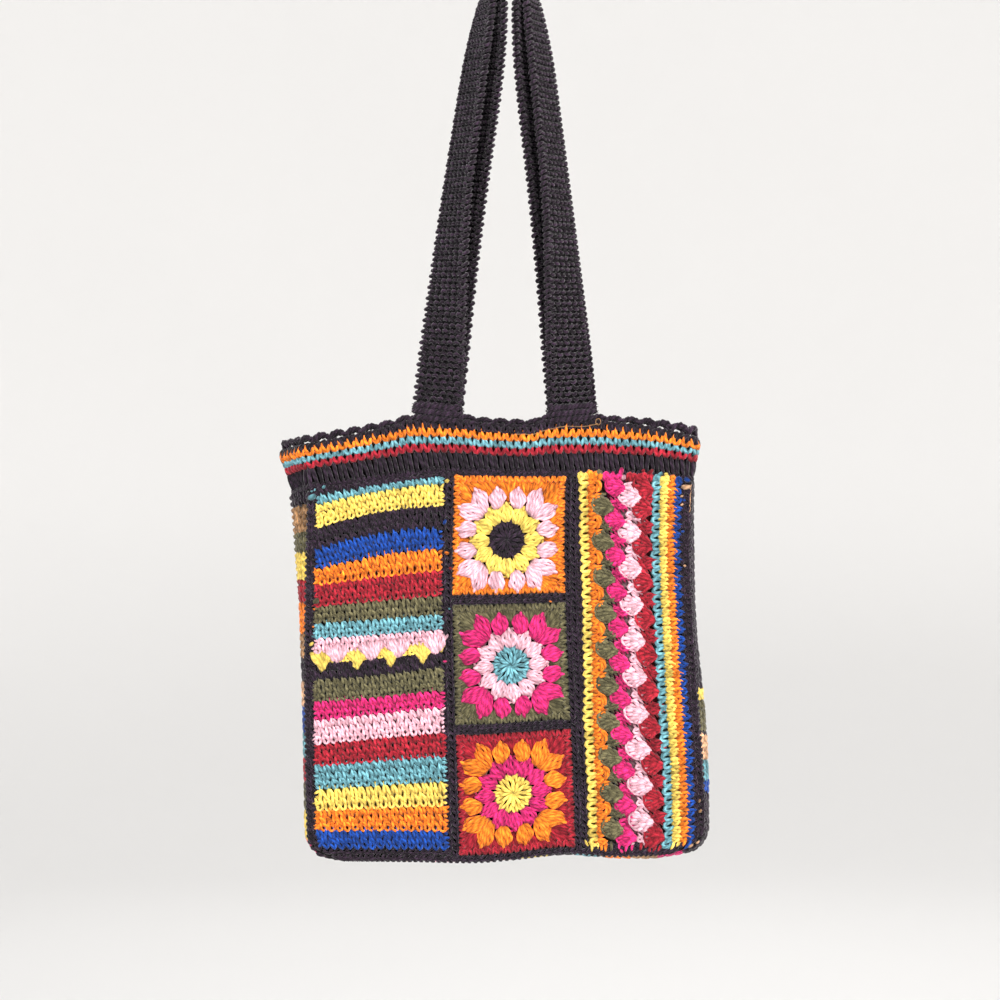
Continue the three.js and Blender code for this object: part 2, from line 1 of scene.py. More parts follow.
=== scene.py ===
from math import pi, radians

import bpy
import numpy as np
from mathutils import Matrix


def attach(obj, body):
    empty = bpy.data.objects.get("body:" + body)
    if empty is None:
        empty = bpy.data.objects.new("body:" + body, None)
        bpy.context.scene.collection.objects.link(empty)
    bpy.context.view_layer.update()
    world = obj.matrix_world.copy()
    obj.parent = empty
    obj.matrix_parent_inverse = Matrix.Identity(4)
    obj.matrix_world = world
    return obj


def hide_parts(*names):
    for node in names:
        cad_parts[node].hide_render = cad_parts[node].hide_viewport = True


# A crocheted shoulder bag that hangs empty by its two straps. Each stitch is a strand of yarn laid on the
# form of the panel it belongs to. Lengths are millimetres until a mesh is written, which is in metres.
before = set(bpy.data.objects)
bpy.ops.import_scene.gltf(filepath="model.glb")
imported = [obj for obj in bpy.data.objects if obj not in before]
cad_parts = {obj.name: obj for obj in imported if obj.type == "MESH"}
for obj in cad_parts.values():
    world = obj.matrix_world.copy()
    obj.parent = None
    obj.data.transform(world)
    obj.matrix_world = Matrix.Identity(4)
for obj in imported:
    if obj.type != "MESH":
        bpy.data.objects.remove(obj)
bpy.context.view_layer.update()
print("frame loaded with", len(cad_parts), "nodes")

toMetres = 0.001

viewpoint = {"place": (-0.008, -2.0, -0.424), "lens": 90, "sensor": 36}  # level, straight along +Y


def setCamera():
    data = bpy.data.cameras.new("camera")
    data.lens = viewpoint["lens"]
    data.sensor_width = viewpoint["sensor"]
    camera = bpy.data.objects.new("camera", data)
    camera.location = viewpoint["place"]
    camera.rotation_euler = (radians(90), 0, 0)
    bpy.context.scene.collection.objects.link(camera)
    bpy.context.scene.camera = camera


setCamera()


def addNode(tree, kind, settings, inputs):
    # An input is a number, a colour, another node's output, or that node itself for its first output
    node = tree.nodes.new("ShaderNode" + kind)
    for name, value in settings.items():
        setattr(node, name, value)
    for socket, value in inputs.items():
        if isinstance(value, bpy.types.Node):
            value = value.outputs[0]
        if isinstance(value, bpy.types.NodeSocket):
            tree.links.new(value, node.inputs[socket])
        else:
            node.inputs[socket].default_value = value
    return node


def newMaterial(name):
    material = bpy.data.materials.new(name)
    material.use_nodes = True
    material.node_tree.nodes.clear()
    return material, material.node_tree


def linear(colour):
    # sRGB to linear light: a straight line in the darkest tones, a power of 2.4 above them
    c = np.array([int(colour[i : i + 2], 16) for i in (1, 3, 5)]) / 255
    return (*np.where(c <= 0.04045, c / 12.92, ((c + 0.055) / 1.055) ** 2.4), 1.0)


yarns = {
    "black": "#251826",
    "orange": "#ff8724",
    "lightBlue": "#71aab6",
    "darkRed": "#a82232",
    "yellow": "#ffdd6a",
    "blue": "#17479f",
    "olive": "#696347",
    "hotPink": "#dc2b75",
    "palePink": "#fac1d0",
    "tan": "#b0845a",
    "peach": "#eab68e",
}
yarnNames = list(yarns)

plied = {
    "plies": 2,
    "lay": 6.5,  # mm along the strand for one turn of the plies
    "fibre": 0.5,  # size of the haze of fibres, mm
    "patch": 9.0,  # size of the drifts in tone, mm
    "drift": (0.93, 1.06),
    "bump": {"Strength": 0.55, "Distance": 0.0005},
    "surface": {"Roughness": 0.88, "Specular IOR Level": 0.25, "Sheen Roughness": 0.45},
}

# How far the tones of a yarn spread: painted shade with its depth in the stitch, painted shade and
# highlight over its plies, and with its fibres
contrasts = {
    "black": {"depth": 2.9, "twist": (0.4, 1.65), "haze": (0.5, 1.65), "sheen": 0.3},
    "full": {"depth": 2.1, "twist": (0.58, 1.3), "haze": (0.7, 1.3), "sheen": 0.25},
    "light": {"depth": 1.7, "twist": (0.7, 1.2), "haze": (0.8, 1.2), "sheen": 0.25},
}


def pliedYarn(name):
    # Worsted cotton, twisted from plies and left matt: the eye sees slanting plies, a haze of short fibres
    # and a tone that drifts a little along the ball, with no shine. The real yarn's three plies and short
    # lay are too fine to show, so two plies with a longer lay are drawn.
    material, tree = newMaterial(name + "WorstedYarn")
    strand = addNode(tree, "UVMap", {"uv_map": "strand"}, {})
    parts = addNode(tree, "SeparateXYZ", {}, {0: strand})
    along = addNode(tree, "Math", {"operation": "MULTIPLY"}, {0: parts, 1: 2 * pi / plied["lay"]})
    turns = {0: parts.outputs[1], 1: 2 * pi * plied["plies"], 2: along}
    phase = addNode(tree, "Math", {"operation": "MULTIPLY_ADD"}, turns)
    ply = addNode(tree, "Math", {"operation": "SINE"}, {0: phase})
    place = addNode(tree, "TexCoord", {}, {}).outputs["Object"]
    fibre, drift = [
        addNode(tree, "TexNoise", {}, {"Vector": place, "Scale": 1 / (size * toMetres), "Detail": detail})
        for size, detail in ((plied["fibre"], 2.0), (plied["patch"], 1.0))
    ]
    relief = addNode(tree, "Math", {"operation": "MULTIPLY_ADD"}, {0: ply, 1: 0.5, 2: fibre})
    bump = addNode(tree, "Bump", {}, {**plied["bump"], "Height": relief})
    # The shade attribute is painted shade, darker where yarn lies deep, times each strand's own tone; the
    # power deepens it
    shade = addNode(tree, "Attribute", {"attribute_name": "shade"}, {})
    contrast = contrasts[{"black": "black", "yellow": "light", "palePink": "light"}.get(name, "full")]
    value = addNode(tree, "Math", {"operation": "POWER"}, {0: shade.outputs["Fac"], 1: contrast["depth"]})
    # The ply tone paints shade in the grooves between the plies and highlight on their crests; the fibre and
    # drift tones are the yarn's own
    for source, low, high, tones in (
        (ply, -1.0, 1.0, contrast["twist"]),
        (fibre, 0.3, 0.7, contrast["haze"]),
        (drift, 0.3, 0.7, plied["drift"]),
    ):
        tone = addNode(tree, "MapRange", {}, {0: source, 1: low, 2: high, 3: tones[0], 4: tones[1]})
        value = addNode(tree, "Math", {"operation": "MULTIPLY"}, {0: value, 1: tone})
    hue = addNode(tree, "HueSaturation", {}, {"Color": linear(yarns[name]), "Value": value})
    surface = {**plied["surface"], "Base Color": hue, "Sheen Weight": contrast["sheen"], "Normal": bump}
    shader = addNode(tree, "BsdfPrincipled", {}, surface)
    addNode(tree, "OutputMaterial", {}, {"Surface": shader})
    return material


yarnMaterials = {name: pliedYarn(name) for name in yarnNames}

# The bag's form, as the solids have it
form = {
    "fabric": 4,
    "gap": 0.3,
    "seamGap": 0.5,
    "bodyWidth": 312.6,
    "bodyHeight": 307.1,
    "bagDepth": 46,
    "mouthDepth": 32,
    "cornerRadius": 20,
    "gussetInset": 1.5,
    "gussetBow": 2.2,
    "bodyShift": -6.8,
    "mouthShift": -15.6,
    "mouthWidth": 332,
    "mouthCorner": 8,
    "rimSag": 20,
    "bottomRise": 8,
    "ripple": 1.2,
    "bandHeight": 39.5,
    "edgingHeight": 6.5,
    "edgingPeriod": 13,
    "strapWidth": 38,
    "strapThickness": 6.5,
    "strapDrop": 356,
    "leftStrapOut": 58,
    "rightStrapOut": 49.6,
    "bendRadius": 4,
    "strapClearance": 0.8,
}

# Outlines of the faces from the rim (level below 0) to the bottom (level 1), as shares of the body's width
sections = {
    "level": (-0.15, 0, 0.2, 0.4, 0.6, 0.8, 1),
    "frontLeft": (-0.505, -0.489, -0.492, -0.495, -0.495, -0.492, -0.487),
    "frontRight": (0.498, 0.481, 0.476, 0.484, 0.496, 0.509, 0.514),
    "backLeft": (-0.578, -0.541, -0.526, -0.513, -0.504, -0.5, -0.496),
    "backRight": (0.504, 0.487, 0.49, 0.495, 0.519, 0.53, 0.528),
    "side": (0.9, 0.94, 1, 1, 1, 1, 1),
    "middle": (1, 1.04, 1.12, 1.2, 1.28, 1.36, 1.4375),
}
# How far the rim and the band's lower seam hang down, as shares of the rim's sag, across the mouth
mouthLines = {
    "across": (-0.5, -0.41, -0.31, -0.21, -0.13, -0.06, 0.02, 0.12, 0.2, 0.3, 0.4, 0.5),
    "rim": (1, 0.72, 0.44, 0.14, 0, 0.07, 0.16, 0.2, 0, 0.06, 0.18, 0.46),
    "seam": (0.9, 0.56, 0.34, 0.14, 0, -0.02, 0, 0.02, 0.02, 0.06, 0.15, 0.32),
    "edging": (1.65, 1.6, 1.4, 1.05, 1, 1, 1, 1, 1, 1.2, 1.6, 2),
}
# How far the bottom edges rise over the lowest place, as shares of the rise, across the body
bottomLines = {
    "across": (0, 0.25, 0.42, 0.52, 0.65, 0.76, 0.9, 1),
    "front": (0.2, 0.1, 0, 0.3, 0.85, 0.6, 0.7, 1),
    "back": (0.5, 0.5, 0.5, 0.5, 0.5, 0.25, 0, 0.4),
}
# A strap's way up to its bend: how far it still stands out and ahead, as shares, and its turn in degrees
strandRun = {
    "up": (0, 0.08, 0.26, 0.49, 0.71, 0.82, 0.93, 1),
    "front": (1, 0.95, 0.83, 0.65, 0.4, 0.265, 0.1, 0),
    "back": (1, 0.93, 0.74, 0.47, 0.23, 0.13, 0.05, 0),
    "ahead": (1, 0.9, 0.7, 0.45, 0.24, 0.14, 0.05, 0),
    "turn": (0, 12, 36, 54, 59, 62, 72, 90),
}


def readTable(table, key, column, at):
    # A smooth value of a column: a cubic between two rows, whose slope at each row is that between its
    # neighbours
    k = np.array(table[key], float)
    c = np.array(table[column], float)
    slope = np.gradient(c, edge_order=1)
    slope[1:-1] = (c[2:] - c[:-2]) / (k[2:] - k[:-2])
    slope[0] = (c[1] - c[0]) / (k[1] - k[0])
    slope[-1] = (c[-1] - c[-2]) / (k[-1] - k[-2])
    at = np.clip(at, k[0], k[-1])
    i = np.clip(np.searchsorted(k, at, side="right") - 1, 0, len(k) - 2)
    span = k[i + 1] - k[i]
    t = (at - k[i]) / span
    return (
        c[i] * (2 * t**3 - 3 * t**2 + 1)
        + slope[i] * span * (t**3 - 2 * t**2 + t)
        + c[i + 1] * (3 * t**2 - 2 * t**3)
        + slope[i + 1] * span * (t**3 - t**2)
    )


def mix(a, b, t):
    return a + (b - a) * t


def unit(v):
    return v / np.maximum(np.linalg.norm(v, axis=-1, keepdims=True), 1e-9)


def lengthAlong(line):
    # How far along a line each of its points lies
    return np.concatenate([[0], np.cumsum(np.linalg.norm(np.diff(line, axis=0), axis=1))])


def resample(values, reached, count):
    # The values at equal steps of the length reached
    wanted = np.linspace(0, reached[-1], count + 1)
    return np.stack([np.interp(wanted, reached, column) for column in values.T], axis=-1)


def smoothStep(value, low, high):
    t = np.clip((value - low) / (high - low), 0, 1)
    return t * t * (3 - 2 * t)


def seatShare(x):
    # 1 under a strap's foot, where the rim runs level, fading to 0 beside it
    away = np.minimum(np.abs(x + form["leftStrapOut"]), np.abs(x - form["rightStrapOut"]))
    level = form["strapWidth"] * 0.55
    return 1 - smoothStep(away, level, level + form["strapWidth"] / 3)


def mouthLine(column, x):
    return readTable(mouthLines, "across", column, (x - form["mouthShift"]) / form["mouthWidth"])


def rimHeight(x):
    return -form["strapDrop"] - form["rimSag"] * mouthLine("rim", x) * (1 - seatShare(x))


def edgingAt(x):
    return form["edgingHeight"] * mouthLine("edging", x)


seamLevel = -form["strapDrop"] - form["edgingHeight"] - form["gap"] - form["bandHeight"] - form["seamGap"]


def seamHeight(x):
    return seamLevel - form["rimSag"] * mouthLine("seam", x)


def halfDepth(across, level):
    # Half the bag's depth: the middle's blends into the sides' with the fourth power of the distance from
    # the middle, less a few shallow dents that are sines across and down
    side = form["bagDepth"] / 2 * readTable(sections, "level", "side", level)
    middle = form["mouthDepth"] / 2 * readTable(sections, "level", "middle", level)
    dents = form["ripple"] * np.sin(3 * pi * across) * np.sin(pi * np.clip(level, 0, 1))
    return mix(middle, side, np.abs(2 * across - 1) ** 4) - dents * np.sin(2 * pi * level + 1)


def edgesAt(face, level):
    return [
        form["bodyShift"] + form["bodyWidth"] * readTable(sections, "level", face + hand, level)
        for hand in ("Left", "Right")
    ]


def facePoint(face, across, level):
    # A face is ruled between its two side outlines and between seam and bottom edge, with its bottom
    # corners drawn in along a quarter circle
    left, right = edgesAt(face, level)
    above = np.maximum(0, form["cornerRadius"] - (1 - level) * form["bodyHeight"])
    inset = form["cornerRadius"] - np.sqrt(np.maximum(0, form["cornerRadius"] ** 2 - above**2))
    x = mix(left, right, across) + inset * (1 - 2 * across) ** 3
    rise = readTable(bottomLines, "across", face, across)
    bottom = seamLevel - form["bodyHeight"] + form["bottomRise"] * rise
    z = mix(seamHeight(x), bottom, level)
    y = halfDepth(across, level) * (-1 if face == "front" else 1)
    return np.stack([x, y, z], axis=-1)


def makeSurface(points, wide, tall, wraps=False):
    # points: rows up, columns to the right as seen from outside. The normal is right crossed with up.
    padded = np.concatenate([points[:, -2:-1], points, points[:, 1:2]], axis=1) if wraps else points
    right = np.gradient(padded, axis=1)[:, 1:-1] if wraps else np.gradient(padded, axis=1)
    normals = unit(np.cross(right, np.gradient(points, axis=0)))
    return {"points": points, "normals": normals, "wide": wide, "tall": tall, "wraps": wraps}


def onSurface(surface, x, y, h):
    # The point x mm across and y mm up the surface, moved out by h mm, and the direction out
    points, normals = surface["points"], surface["normals"]
    rows, columns = points.shape[0] - 1, points.shape[1] - 1
    u = np.asarray(x) / surface["wide"] * columns
    v = np.asarray(y) / surface["tall"] * rows
    if surface["wraps"]:
        u = u % columns
    c = np.clip(np.floor(u).astype(int), 0, columns - 1)
    r = np.clip(np.floor(v).astype(int), 0, rows - 1)
    s, t = (u - c)[..., None], (v - r)[..., None]

    def between(grid):
        low = mix(grid[r, c], grid[r, c + 1], s)
        return mix(low, mix(grid[r + 1, c], grid[r + 1, c + 1], s), t)

    out = unit(between(normals))
    return between(points) + out * np.asarray(h)[..., None], out


def faceSurface(face, steps=160):
    across, up = np.meshgrid(np.linspace(0, 1, steps + 1), np.linspace(0, 1, steps + 1))
    points = facePoint(face, across if face == "front" else 1 - across, 1 - up)
    return makeSurface(points, form["bodyWidth"], form["bodyHeight"])


def mouthLoop(level, count):
    # The mouth's loop in plan: along the front, round a corner of two short curves, along the back and
    # round the other corner, then cut into equal lengths
    frontLeft, frontRight = edgesAt("front", level)
    backLeft, backRight = edgesAt("back", level)
    side = halfDepth(np.array(0.0), level)
    corner = form["mouthCorner"]

    def faceRun(left, right, out):
        x = mix(left + corner, right - corner, np.linspace(0, 1, 61))
        return np.stack([x, out * halfDepth((x - left) / (right - left), np.full(61, level))], axis=-1)

    def bend(a, b, c):
        t = np.linspace(0, 1, 7)[:, None]
        return a * (1 - t) ** 2 + 2 * b * t * (1 - t) + c * t**2

    def end(start, cornerA, cornerB, stop):
        step = unit(cornerB - cornerA) * corner
        first = bend(start, cornerA, cornerA + step)[1:]
        return np.concatenate([first, bend(cornerB - step, cornerB, stop)[:-1]])

    front = faceRun(frontLeft, frontRight, -1)
    back = faceRun(backLeft, backRight, 1)[::-1]
    ring = np.concatenate([
        front,
        end(front[-1], np.array([frontRight, -side]), np.array([backRight, side]), back[0]),
        back,
        end(back[-1], np.array([backLeft, side]), np.array([frontLeft, -side]), front[0]),
        front[:1],
    ])
    reached = lengthAlong(ring)
    return resample(ring, reached, count), reached[-1]


bandShare = form["bandHeight"] / (form["bandHeight"] + form["edgingHeight"])
mouthSteps = 720
rimLoopLength = mouthLoop(sections["level"][0], mouthSteps)[1]
archCount = 2 * round(rimLoopLength / form["edgingPeriod"] / 2)


def mouthSurface(part, rows, tall):
    # part: band or edging. Its rows climb evenly from its lower line to its upper one.
    grid = []
    for row in np.linspace(0, 1, rows + 1):
        share = bandShare * row if part == "band" else mix(bandShare, 1, row)
        plan, _ = mouthLoop(sections["level"][0] * share, mouthSteps)
        x = plan[:, 0]
        if part == "band":
            top = rimHeight(x) - edgingAt(x) - form["gap"]
            z = mix(seamHeight(x) + form["seamGap"], top, row)
        else:
            z = rimHeight(x) - edgingAt(x) * (1 - row)
        grid.append(np.column_stack([plan, z]))
    return makeSurface(np.array(grid), rimLoopLength, tall, wraps=True)


def gussetSurface():
    # The gusset runs down the left side, along the bottom and up the right side, pulled in from the
    # outline square to its run and laid against the faces' inner sides, and it bellies out between them
    down = np.linspace(0, 1, 121)
    along = np.linspace(0, 1, 121)[1:-1]
    across = np.concatenate([np.zeros(121), along, np.ones(121)])
    level = np.concatenate([down, np.ones(119), down[::-1]])

    def seam(face, inset):
        line = facePoint(face, across, level)
        run = unit(np.gradient(line, axis=0) * (1, 0, 1))
        points = line + np.stack([-run[:, 2], 0 * inset, run[:, 0]], axis=-1) * inset[:, None]
        left, right = edgesAt(face, level)
        lower = level - np.where(across % 1 > 0, inset / form["bodyHeight"], 0)
        depth = halfDepth((points[:, 0] - left) / (right - left), lower) - form["fabric"] - form["gap"]
        points[:, 1] = depth * (-1 if face == "front" else 1)
        return points

    grid = []
    for share in np.linspace(0, 1, 13):
        inset = np.full(len(level), form["gussetInset"] - form["gussetBow"] * np.sin(pi * share))
        grid.append(mix(seam("back", inset), seam("front", inset), share))
    reached = lengthAlong(grid[len(grid) // 2])
    tall = np.linalg.norm(grid[-1][60] - grid[0][60])  # halfway down the left side
    return makeSurface(np.stack([resample(row, reached, 300) for row in grid]), reached[-1], tall)


def strapLine(face):
    # A strap's centre line from its left foot over the bend at the top to its right foot, with the
    # direction of its width
    stepCount, bendCount = 14, 4
    half = stepCount + bendCount
    step = np.linspace(0, 2 * half, 24 * half + 1)
    side = np.where(step < half, -1.0, 1.0)
    fromFoot = np.minimum(step, 2 * half - step)
    thick = form["strapThickness"]
    over = 1.5 * thick + form["strapClearance"] if face == "front" else 0.5 * thick
    radius = form["bendRadius"] + over
    up = np.clip(fromFoot / stepCount, 0, 1)
    foot = np.where(side < 0, form["leftStrapOut"], form["rightStrapOut"])
    ahead = form["mouthDepth"] / 2 - form["fabric"] / 2
    x = side * mix(radius, foot, readTable(strandRun, "up", face, up))
    y = ahead * readTable(strandRun, "up", "ahead", up) * (-1 if face == "front" else 1)
    z = mix(-form["strapDrop"] + form["gap"], -form["bendRadius"], up)
    turn = np.radians(readTable(strandRun, "up", "turn", up))
    angle = np.clip((fromFoot - stepCount) / bendCount, 0, 1) * pi / 2
    arc = [side * radius * np.cos(angle), 0 * angle, -form["bendRadius"] + radius * np.sin(angle)]
    onBend = (fromFoot > stepCount)[:, None]
    centre = np.where(onBend, np.stack(arc, axis=-1), np.stack([x, y, z], axis=-1))
    wide = np.stack([side * np.cos(turn), np.sin(turn), 0 * turn], axis=-1)
    wide = np.where(onBend, np.array([0.0, 1.0, 0.0]), wide)
    reached = lengthAlong(centre)
    centre, wide = [resample(values, reached, 400) for values in (centre, wide)]
    run = unit(np.gradient(centre, axis=0))
    return centre, unit(wide - run * np.sum(wide * run, axis=1, keepdims=True)), reached[-1]


def strapSurface(face, outer):
    # The strap's middle layer as seen from its outer or its inner side
    centre, wide, length = strapLine(face)
    share = np.linspace(1, -1, 9) if outer else np.linspace(-1, 1, 9)
    points = centre[:, None] + wide[:, None] * share[None, :, None] * form["strapWidth"] / 2
    return makeSurface(points, form["strapWidth"], length)


frontFace = faceSurface("front")
backFace = faceSurface("back")
bandSurface = mouthSurface("band", 12, form["bandHeight"])
edgingSurface = mouthSurface("edging", 4, form["edgingHeight"])
gussetStrip = gussetSurface()
print("surfaces worked out")


def startWork(seed):
    # A piece of work collects its strands until it is finished as one mesh
    return {"random": np.random.default_rng(seed), "parts": []}


def layStrands(work, points, normals, radii, yarn, shade, wobble, sides):
    # A strand is a ring of corners carried along its points: radius times the cosine towards the side
    # and the sine towards the top. Its ends are closed. Its thickness wobbles as a sine along it.
    count, steps = points.shape[:2]
    chance = work["random"]
    beat = chance.uniform(0, 2 * pi, (count, 1)) + 2.2 * np.arange(steps)
    radii = np.broadcast_to(radii, (count, steps)) * (1 + wobble * np.sin(beat))
    along = unit(np.gradient(points, axis=1))
    side = unit(np.cross(normals, along))
    top = np.cross(along, side)
    angle = 2 * pi * (np.arange(sides) + 0.5) / sides
    reach = np.cos(angle)[:, None] * side[:, :, None] + np.sin(angle)[:, None] * top[:, :, None]
    corners = points[:, :, None] + radii[:, :, None, None] * reach
    index = np.arange(count * steps * sides).reshape(count, steps, sides)
    following = np.roll(index, -1, axis=2)
    quads = np.stack([index[:, :-1], following[:, :-1], following[:, 1:], index[:, 1:]], axis=-1)
    length = np.linalg.norm(np.diff(points, axis=1), axis=-1)
    length = np.concatenate([np.zeros((count, 1)), np.cumsum(length, axis=1)], axis=1)
    length += chance.uniform(0, plied["lay"], (count, 1))
    low = np.stack(np.broadcast_arrays(length[:, :, None], np.arange(sides) / sides), axis=-1)
    high = low + (0, 1 / sides)
    quadUv = np.stack([low[:, :-1], high[:, :-1], high[:, 1:], low[:, 1:]], axis=-2)
    ends = np.stack([index[:, 0, ::-1], index[:, -1]], axis=1)
    endUv = np.stack([low[:, 0, ::-1], low[:, -1]], axis=1)
    flatCorners = np.concatenate([quads.reshape(-1), ends.reshape(-1)])
    counts = np.concatenate([np.full(quads.size // 4, 4), np.full(2 * count, sides)])
    uv = np.concatenate([quadUv.reshape(-1, 2), endUv.reshape(-1, 2)])
    tone = np.broadcast_to(shade, (count, steps)) * chance.normal(1, 0.09, (count, 1))
    yarnIndex = np.full(len(counts), yarnNames.index(yarn))
    work["parts"].append(
        (corners.reshape(-1, 3), flatCorners, counts, uv, yarnIndex, np.repeat(tone.reshape(-1), sides))
    )


def shapeOf(**columns):
    return {name: np.array(values, float) for name, values in columns.items()}


# Stitches, seen from outside. x is a share of the stitch's width, y of its height, h is mm out of the
# fabric and thick a share of the yarn's radius.
stitches = {
    "loop": shapeOf(  # a loop whose two ends meet in a point at the top
        x=(-0.16, -0.20, -0.31, -0.26, 0, 0.26, 0.29, 0.10, -0.10),
        y=(0.72, 0.36, -0.04, -0.38, -0.50, -0.38, -0.06, 0.30, 0.60),
        h=(1.5, 1.6, 1.2, 0.5, 0.2, 0.5, 1.1, 1.5, 1.3),
        thick=(0.3, 0.95, 1.15, 1.05, 0.95, 1.05, 1.15, 1.0, 0.5),
    ),
    "cup": shapeOf(  # the same loop with its round lower end on top
        x=(-0.14, -0.31, -0.33, -0.22, 0, 0.22, 0.33, 0.31, 0.14),
        y=(0.58, 0.34, 0.0, -0.32, -0.46, -0.32, 0.0, 0.34, 0.58),
        h=(-0.4, 0.6, 1.2, 1.6, 1.7, 1.6, 1.2, 0.6, -0.4),
        thick=(0.5, 0.95, 1.15, 1.1, 1, 1.1, 1.15, 0.95, 0.5),
    ),
    "vee": shapeOf(  # two legs that meet in a point at the bottom
        x=(-0.40, -0.36, -0.20, 0, 0.20, 0.36, 0.40),
        y=(0.58, 0.26, -0.14, -0.46, -0.14, 0.26, 0.58),
        h=(-0.4, 1.0, 1.6, 1.5, 1.6, 1.0, -0.4),
        thick=(0.6, 1.1, 1.15, 0.95, 1.15, 1.1, 0.6),
    ),
    "leftLeg": shapeOf(  # the left leg of a double leg, with a tip that leans over the row above
        x=(-0.40, -0.32, -0.34, -0.40, -0.30),
        y=(0.74, 0.42, 0.08, -0.26, -0.52),
        h=(1.2, 1.9, 1.8, 1.2, -0.2),
        thick=(0.3, 0.85, 1.15, 1.1, 0.7),
    ),
    "rightLeg": shapeOf(
        x=(-0.26, 0.02, 0.20, 0.24, 0.16),
        y=(0.46, 0.34, 0.04, -0.28, -0.54),
        h=(0.8, 1.7, 1.7, 1.1, -0.2),
        thick=(0.6, 1.0, 1.15, 1.1, 0.7),
    ),
    "cross": shapeOf(  # the short strand between the legs
        x=(-0.30, -0.14, 0.02, 0.26, 0.50),
        y=(-0.36, -0.02, 0.12, -0.06, -0.30),
        h=(-0.3, 1.0, 1.3, 1.3, -0.3),
        thick=(0.6, 0.95, 1.05, 1.0, 0.6),
    ),
    "hook": shapeOf(  # a round loop, open above, whose left end runs up into a spike
        x=(-0.42, -0.38, -0.28, -0.09, 0.08, 0.26, 0.38, 0.30),
        y=(0.98, 0.42, 0.0, -0.38, -0.42, -0.06, 0.32, 0.52),
        h=(1.0, 1.7, 1.5, 0.9, 0.9, 1.4, 1.6, 0.8),
        thick=(0.25, 0.85, 1.1, 1.1, 1.1, 1.1, 1.0, 0.6),
    ),
    "post": shapeOf(  # a tall stitch: a slanting post with a knot of yarn round it
        x=(0.5, 0.36, 0.12, -0.12, -0.36, -0.5),
        y=(-0.5, -0.3, -0.08, 0.14, 0.36, 0.52),
        h=(-0.2, 0.9, 1.3, 1.3, 0.9, -0.2),
        thick=(0.7, 1.0, 1.1, 1.15, 1.1, 0.7),
    ),
    "bar": shapeOf(  # a short fat strand that dives at both ends
        x=(-0.5, -0.34, 0, 0.34, 0.5),
        y=(-0.5, -0.34, 0, 0.34, 0.5),
        h=(-0.9, 0.3, 0.9, 0.3, -0.9),
        thick=(0.6, 1, 1.15, 1, 0.6),
    ),
    "bead": shapeOf(  # a low arch that dives at both ends
        x=(-0.42, -0.25, 0.02, 0.28, 0.42),
        y=(-0.32, 0.04, 0.2, 0.04, -0.3),
        h=(-0.5, 1.3, 1.9, 1.3, -0.5),
        thick=(0.65, 1.15, 1.3, 1.15, 0.65),
    ),
    "spike": shapeOf(  # a pointed end of yarn that reaches into the row above
        x=(0, 0.05, 0.02, -0.1),
        y=(-0.5, -0.1, 0.25, 0.6),
        h=(0.2, 1.3, 1.5, 1.0),
        thick=(0.8, 1, 0.75, 0.25),
    ),
}


def layStitches(work, surface, kind, x, y, wide, tall, yarn, radius, turn=0.0, lift=0.0, sides=5):
    # Each stitch is its kind's shape at x and y, turned by so many degrees and lifted by so many mm, with a
    # little chance in its place, turn, size and height
    shape = stitches[kind]
    x, y, wide, tall, turn, lift = np.broadcast_arrays(*np.atleast_1d(x, y, wide, tall, turn, lift))
    chance = work["random"]
    count = len(x)
    x = x + chance.normal(0, 0.04, count) * wide
    y = y + chance.normal(0, 0.03, count) * tall
    turn = np.radians(turn + chance.normal(0, 4, count))[:, None]
    across = shape["x"] * wide[:, None] * chance.normal(1, 0.05, (count, 1))
    up = shape["y"] * tall[:, None] * chance.normal(1, 0.05, (count, 1))
    px = x[:, None] + across * np.cos(turn) - up * np.sin(turn)
    py = y[:, None] + across * np.sin(turn) + up * np.cos(turn)
    h = shape["h"] + lift[:, None] + chance.normal(0, 0.12, (count, 1))
    # Painted shade: the deeper a point of the stitch lies, the darker it is
    shade = np.clip(0.72 + 0.2 * shape["h"], 0.45, 1.08)  # the deeper, the darker
    layPaths(work, surface, px, py, h, radius * shape["thick"], yarn, shade, sides=sides)


def layPaths(work, surface, x, y, h, radii, yarn, shade=1.0, wobble=0.0, sides=5):
    # Strands along given paths: x, y and h are arrays of strands by points
    points, normals = onSurface(surface, *np.broadcast_arrays(x, y, h))
    layStrands(work, points, normals, radii, yarn, shade, wobble, sides)


# The ways from a cell of cloth to its neighbours, in rows and columns, with the two ends of the edge between
cellEdges = (
    ((-1, 0), (0, 0), (0, 1)),
    ((1, 0), (1, 1), (1, 0)),
    ((0, -1), (1, 0), (0, 0)),
    ((0, 1), (0, 1), (1, 1)),
)


